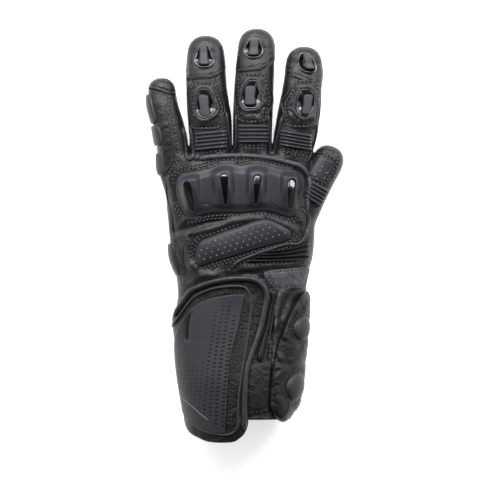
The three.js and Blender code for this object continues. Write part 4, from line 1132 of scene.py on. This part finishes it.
addPad("cuffFlap", cuff, outlineOf(flap["outline"]), flap["spine"], flapHeight, 1.2, cuffHide, "leather",
       ["cuff_flap"], fill=0.3, step=1.6, depth=0.6)
addPad("flapPanel", cuff, outlineOf(flapPanel["outline"]), flapPanel["spine"], panelHeight, 1.0, panelFilm,
       "smooth_panel", ["flap_panel"], step=1.2, depth=-1.6)
slit = {
    "outline": [(190.3, 312.5), (187.5, 318), (186, 323), (185.8, 335), (187, 341), (188.7, 333), (190, 321)],
    "spine": [(188.2, 322), (187.3, 334)],
}


def slitHeight(d, x, y, s):
    return panelTop - 0.5 + 0 * x


# A dark pad set into the slit, painted shade of its opening.
addPad("flapSlitShade", cuff, plan(slit["outline"]), plan(slit["spine"]), slitHeight, 0.7, paintedShade, "smooth_panel",
       step=0.7, depth=-1.8, edges=[0, 0.3, 0.6])
flapStitches = bmesh.new()
flapCords = {
    "outer": [(174, 316), (179, 308), (184, 300.5), (191, 291), (201, 286), (215, 281.5), (230, 279),
              (245, 278.5), (254.5, 280), (261, 284), (265.5, 290), (266.5, 298), (264, 310), (261, 325),
              (258, 335), (252, 352), (248, 364), (246, 375), (245, 390), (244.5, 408), (244.5, 418),
              (243.5, 428)],
    "inner": [(171, 327), (178, 318), (183.5, 310), (190, 301.5), (196, 296), (205, 291.5), (215, 288.2),
              (230, 286.2), (243, 286.8), (248, 291), (250.5, 299), (251.5, 308), (248.5, 330), (245.5, 350),
              (242, 372), (238.5, 400), (238, 422), (234, 431)],
    # the step across the panel, drawn as a pale cord with a painted highlight
    "light": [(180, 395), (187, 401), (198, 410.5), (208.5, 419)],
    "foot": [(181.5, 406), (185.5, 414), (192.5, 422), (202, 428.5), (212, 432), (224, 433.5), (232, 432),
             (238, 426), (240.5, 416)],
}


def flapLine(points, height):
    return pairOn(cuff, *smoothLine(plan(points), 1.5).T, height)


def pipeFlap(name, key, height, radius, material=pipingHide, nodes=()):
    cordPiece(name, [flapLine(flapCords[key], height)[0]], radius, material, nodes)


pipeFlap("flapPiping", "outer", flap["thick"] + 0.7, 2.2, nodes=["flap_piping"])
# A thin pale cord along the step across the panel: a raised edge, pale as a painted highlight on it.
pipeFlap("flapStepHighlight", "light", panelTop + 0.1, 0.4, softHide)
pipeFlap("flapFootPiping", "foot", flap["thick"] + 0.3, 1.0)
pipeFlap("flapInnerPiping", "inner", flap["thick"] + 0.4, 1.2)
sewRows(flapStitches, [
    [(179, 330), (185, 320), (190, 311), (196, 304), (203, 299.5), (213, 295.5), (228, 292.5), (241, 291.8)],
    [(255.5, 295), (257.3, 301), (256.5, 312), (254.5, 326), (251.5, 339), (247, 352)],
    [(246.5, 297), (245.5, 310), (243, 325), (240, 340), (237, 356), (234, 376), (232, 396), (231.5, 424)],
    [(243.5, 300), (242.3, 312), (239.5, 327), (236.5, 341), (233.5, 358), (231, 377), (229.5, 397),
     (229, 424)],
], flapLine, flap["thick"] + 0.1)

# Perforations of the panel, drawn as flat dark discs laid on it, the painted shade of each perforation:
# columns that follow its right edge, long dashes beside it and small dots
# further off. Columns: distance from the edge in pixels, half the dash's length and width in mm, first row.
flapEdge = [(296, 243), (310, 240.7), (330, 237.5), (360, 233), (400, 229), (432, 228)]
flapColumns = [
    (5.5, 1.55, 0.62, 316), (12, 1.45, 0.58, 300), (18.2, 1.3, 0.52, 302), (24.2, 1.1, 0.46, 310),
    (29.6, 0.8, 0.42, 362), (34.4, 0.72, 0.4, 364), (38.8, 0.66, 0.38, 362), (42.8, 0.6, 0.36, 364),
    (46.6, 0.55, 0.34, 362), (50.2, 0.5, 0.32, 364), (53.7, 0.46, 0.3, 362),
]
rowPitch = 4.0
holeShadeDiscs, dots = bmesh.new(), bmesh.new()


def addDisc(bm, matrix, radius, depth):
    bmesh.ops.create_cone(bm, cap_ends=True, segments=8, radius1=radius, radius2=radius, depth=depth,
                          matrix=matrix)


# A flat disc laid over a tube, standing for a perforation: black as its painted shade, or pale grey as the
# painted highlight on its lit wall.
def paintedHoleDisc(bm, tube, x, y, height, wide, deep):
    spot = Vector(onTube(tube, x, y, height))
    east = Vector(onTube(tube, x + 0.5, y, height)) - spot
    up = east.cross(Vector(onTube(tube, x, y + 0.5, height)) - spot).normalized()
    east.normalize()
    turn = Matrix((east, up.cross(east), up)).transposed().to_4x4()
    addDisc(bm, Matrix.Translation(spot + up * 0.05) @ turn @ Matrix.Diagonal((wide, deep, 1, 1)), 1, 0.24)


for number, (off, wide, deep, first) in enumerate(flapColumns):
    for py in np.arange(first + (number % 2) * rowPitch / 2, 428, rowPitch):
        px = np.interp(py, *zip(*flapEdge)) - off
        if px < 175.5 or py > 391 + (px - 180) * 0.87:
            continue
        small = min(1, 0.6 + 0.4 * (py - 296) / 50)
        paintedHoleDisc(holeShadeDiscs, cuff, *plan([(px, py)])[0], panelTop, wide * small, deep * small)
addPiece("flapPerforationShade", holeShadeDiscs, paintedShade)

# The back pad's dots, pale discs that are the painted highlight on each perforation's lit wall, stand in
# staggered rows that lean with the pad.
padDotting = {"middle": (0.5, -4.5), "ahead": (0.95, 0.312), "beside": (-0.312, 0.95), "step": 4.9,
              "row": 3.6, "border": 3, "radius": 0.38}
middle, ahead, beside = [np.array(padDotting[key]) for key in ("middle", "ahead", "beside")]
for row in range(-6, 7):
    for step in range(-12, 13):
        along = step * padDotting["step"] + (row % 2) * padDotting["step"] / 2
        x, y = (middle + ahead * along + beside * row * padDotting["row"])[:, None]
        away = distanceTo(joined(pad["edge"]), x, y)
        if away[0] < padDotting["border"] or not insideOf(pad["edge"], x, y)[0]:
            continue
        height = float(pad["height"](away, x, y, min(1, away[0] / 8.3))[0])
        paintedHoleDisc(dots, hand, x[0], y[0], height, padDotting["radius"], padDotting["radius"])
# Pale discs over the thumb's panel, painted highlights of its perforations.
for x, y in plan([(320, 171), (315, 175), (326, 173), (322, 167), (318, 165), (324, 178), (317, 179)]):
    spot, normal, *_ = skinTree.ray_cast(Vector((x, y, 90)), Vector((0, 0, -1)))
    turn = normal.to_track_quat("Z", "Y").to_matrix().to_4x4()
    addDisc(dots, Matrix.Translation(spot + normal * 1.5) @ turn, 0.42, 0.6)
addPiece("padPerforationHighlights", dots, paintedHoleHighlight)

# Smooth panel beside the flap, strap tongue and the roll along the thumb's side.
sidePanel = {
    "outline": [(247, 366), (252, 362.5), (262, 361), (270.5, 362), (270.3, 380), (270.2, 405), (268, 412),
                (256, 414), (247, 415), (246.5, 390)],
    "spine": [(9, -105), (9, -123)], "edges": [0, 0.12, 0.3, 0.6, 0.9, 1.3, 1.8],
}
addPad("cuffSidePanel", cuff, plan(sidePanel["outline"]), sidePanel["spine"], sewnHeight(0.8, 0.5, 1.2, 0.15),
       1.0, cuffHide, "leather", step=1.4, edges=sidePanel["edges"])
tongue = {
    "rows": [(-93.5, 12, 15), (-87.5, 11, 16.5), (-78.5, 14, 18.5), (-67, 17.5, 21), (-56, 19.5, 22.5),
             (-48.5, 21.5, 24), (-41.5, 21, 26)],
    "spine": [(14.8, -86), (23.4, -46)], "edges": [0, 0.12, 0.3, 0.6, 0.9, 1.3],
}
tonguePad = addPad("strapTongue", cuff, outlineOf(tongue["rows"]), tongue["spine"],
                   sewnHeight(2.1, 0.9, 0.9, 0), 0.8, cuffHide, "leather", ["strap_tongue"], step=1.0,
                   edges=tongue["edges"])
cordPiece("tonguePiping", [padLine(tonguePad, -0.6, 0.2)[0]], 0.7, pipingHide)

roll = [(-139, 29, 32), (-137, 25.5, 35), (-134, 22.5, 38.5), (-129.5, 20.5, 42.5), (-123.5, 20, 47.5),
        (-102.5, 21.5, 53), (-86, 25, 53), (-71, 29, 56.5), (-59.5, 34, 57.5), (-53.5, 37, 56.5),
        (-47, 41, 55), (-41.5, 45.5, 55)]
rollCreases = [
    ([(300, 345), (296, 352), (285, 358)], 2.2, -0.8), ([(303, 362), (292, 364), (280, 362)], 2.4, -0.9),
    ([(276, 352), (280, 358), (278, 366)], 1.6, 0.7),
    ([(284, 330), (280, 345), (277, 362), (275, 380)], 2.6, 0.8),
    ([(303, 296), (297, 304), (291, 314), (287, 324), (284, 336)], 1.9, 1.7),
    ([(304, 302), (299, 310), (295, 320)], 2.0, -0.9),
]
rollShape = {"spine": [(33, -125), (48, -58)], "high": 5.4, "edge": 6.5, "sewn": 1.5,
             "cloth": {"spare": 0.03, "stiff": 3.0, "reach": 1.0}}


def rollHeight(d, x, y, s):
    high = rollShape["high"] * rounded(d / rollShape["edge"])
    for crease in rollCreases:
        high = high + ridge(*crease, x, y) * np.clip(d / 3, 0, 1)
    return high


# Round armour bumps: angle round the cuff, y, half the width across and along.
armour = {"armour_bump_upper": (25, -69.4, 12, 9.4), "armour_bump_lower": (28, -112.9, 13, 10.6)}
armourShape = {"foot": 5.6, "dome": 3.4, "tuck": 1.6, "stitches": 1.22, "sewnAt": 5.4}


def addArmour(node, angle, y, across, along):
    middle, reach = math.radians(angle), across / 40

    def around(turn, out, height):
        return aroundTube(cuff, middle - reach * out * np.cos(turn), y + along * out * np.sin(turn), height)

    def place(u, v):
        dome = armourShape["dome"] * np.sqrt(np.clip(1 - v**2, 0, 1))
        tuck = armourShape["tuck"] * np.clip((v - 0.94) / 0.06, 0, 1)
        return around(u * 2 * math.pi, v, armourShape["foot"] + dome - tuck)

    addPiece(pieceName(node), gridMesh(48, 22, place), panelFilm, [node], backing=1.0)
    turn = np.linspace(0, 2 * math.pi, 60)
    rows = [around(turn, armourShape["stitches"], armourShape["sewnAt"] + lift) for lift in (0, 1)]
    sewLine(flapStitches, *rows)


rollPad = padShape(cuff, outlineOf(roll), rollShape["spine"], rollHeight, 1.0)
rollMesh = padMesh(rollPad, 1.1, depth=0.6, sewn=rollShape["sewn"])
held = rollMesh.verts.layers.float["held"]
for angle, y, across, along in armour.values():  # the leather is sewn down round each armour bump
    middle = aroundTube(cuff, math.radians(angle), y, 5)
    for vert in rollMesh.verts:
        aside = Vector((vert.co.x - middle[0], vert.co.z - middle[2])).length
        if (aside / across) ** 2 + ((vert.co.y - y) / along) ** 2 < 1.6:
            vert[held] = 1
swelled = pillow(rollMesh, **rollShape["cloth"])
addPiece("cuffRoll", swelled, cuffHide, ["cuff_roll"])
for node, shape in armour.items():
    addArmour(node, *shape)
sewRows(flapStitches, [
    [(278, 290), (275, 300), (273, 310), (271, 320), (270, 330), (268, 340), (266, 350)],
    [(251, 417.5), (260, 416), (269, 415)],
], flapLine, 0.2)
sewRows(flapStitches, [[(250, 411.5), (259, 410.5), (268, 409)]], flapLine, 0.95)
addPiece("flapStitches", flapStitches, blackThread)
# All the dark cords under the seams, painted shade of their grooves.
cordPiece("seamShadeLines", seamShadeLines, 0.5, paintedShade)
print("cuff pieces made")

# A matt opal acrylic table, lit faintly from below, so that the gaps between the fingers stay pale.
floorMaterial = newMaterial("opal acrylic light table, matt")
glow = {"Roughness": 0.9, "Emission Color": colour("#ffffff"), "Emission Strength": 0.55}
acrylic = blend(floorMaterial, noise(floorMaterial, 1 / 900, 2), "#f6f6f6", "#fbfbfb")
finishMaterial(floorMaterial, glow, {"Base Color": acrylic})
floorMesh = bmesh.new()
bmesh.ops.create_grid(floorMesh, x_segments=4, y_segments=4, size=4)
bmesh.ops.translate(floorMesh, vec=(0, 0, -0.0006), verts=floorMesh.verts)
floor = newObject("floor", meshFrom(floorMesh, "floor"))
floor.data.materials.append(floorMaterial)

lamps = {
    "overhead": {"at": (-0.05, 0.55, 0.55), "size": 0.5, "power": 7.8},
    "leftFill": {"at": (-0.5, 0.55, 0.5), "size": 0.35, "power": 2.5},
    "rightFill": {"at": (0.55, 0.5, 0.5), "size": 0.35, "power": 4},
}
lampTarget = Vector((0, 0, 0.02))
for name, lamp in lamps.items():
    light = bpy.data.lights.new(name, "AREA")
    light.size = lamp["size"]
    light.energy = lamp["power"]
    holder = newObject(name, light)
    holder.location = lamp["at"]
    holder.rotation_euler = (lampTarget - Vector(lamp["at"])).to_track_quat("-Z", "Y").to_euler()

# The studio's walls are white and its ceiling is dimmer, so that black gloss stays black from above.
world = bpy.data.worlds.new("studio")
bpy.context.scene.world = world
world.use_nodes = True
background = world.node_tree.nodes["Background"]
direction = addNode(world, "ShaderNodeTexCoord").outputs["Generated"]
aim = addNode(world, "ShaderNodeSeparateXYZ", None, {"Vector": direction}).outputs


def softRange(value, fromMin, fromMax, toMin, toMax):
    return addNode(world, "ShaderNodeMapRange", {
        "interpolation_type": "SMOOTHSTEP", "From Min": fromMin, "From Max": fromMax, "To Min": toMin,
        "To Max": toMax,
    }, {"Value": value}).outputs["Result"]


walls, side = softRange(aim["Z"], 0.55, 0.9, 1.8, 0.05), softRange(aim["Y"], -0.9, 0.5, 0.15, 1)
strength = addNode(world, "ShaderNodeMath", {"operation": "MULTIPLY"}, {0: walls, 1: side})
world.node_tree.links.new(strength.outputs["Value"], background.inputs["Strength"])
background.inputs["Color"].default_value = (1, 1, 1, 1)
bpy.context.scene.view_settings.view_transform = "Standard"

view = {"distance": 5.0, "height": 0.02, "width": 0.36, "middle": (-0.001875, -0.003375)}
lens = bpy.data.cameras.new("camera")
lens.sensor_width = 36
lens.lens = 36 * view["distance"] / view["width"]
camera = newObject("camera", lens)
camera.location = (*view["middle"], view["distance"] + view["height"])
bpy.context.scene.camera = camera
print("stage made")
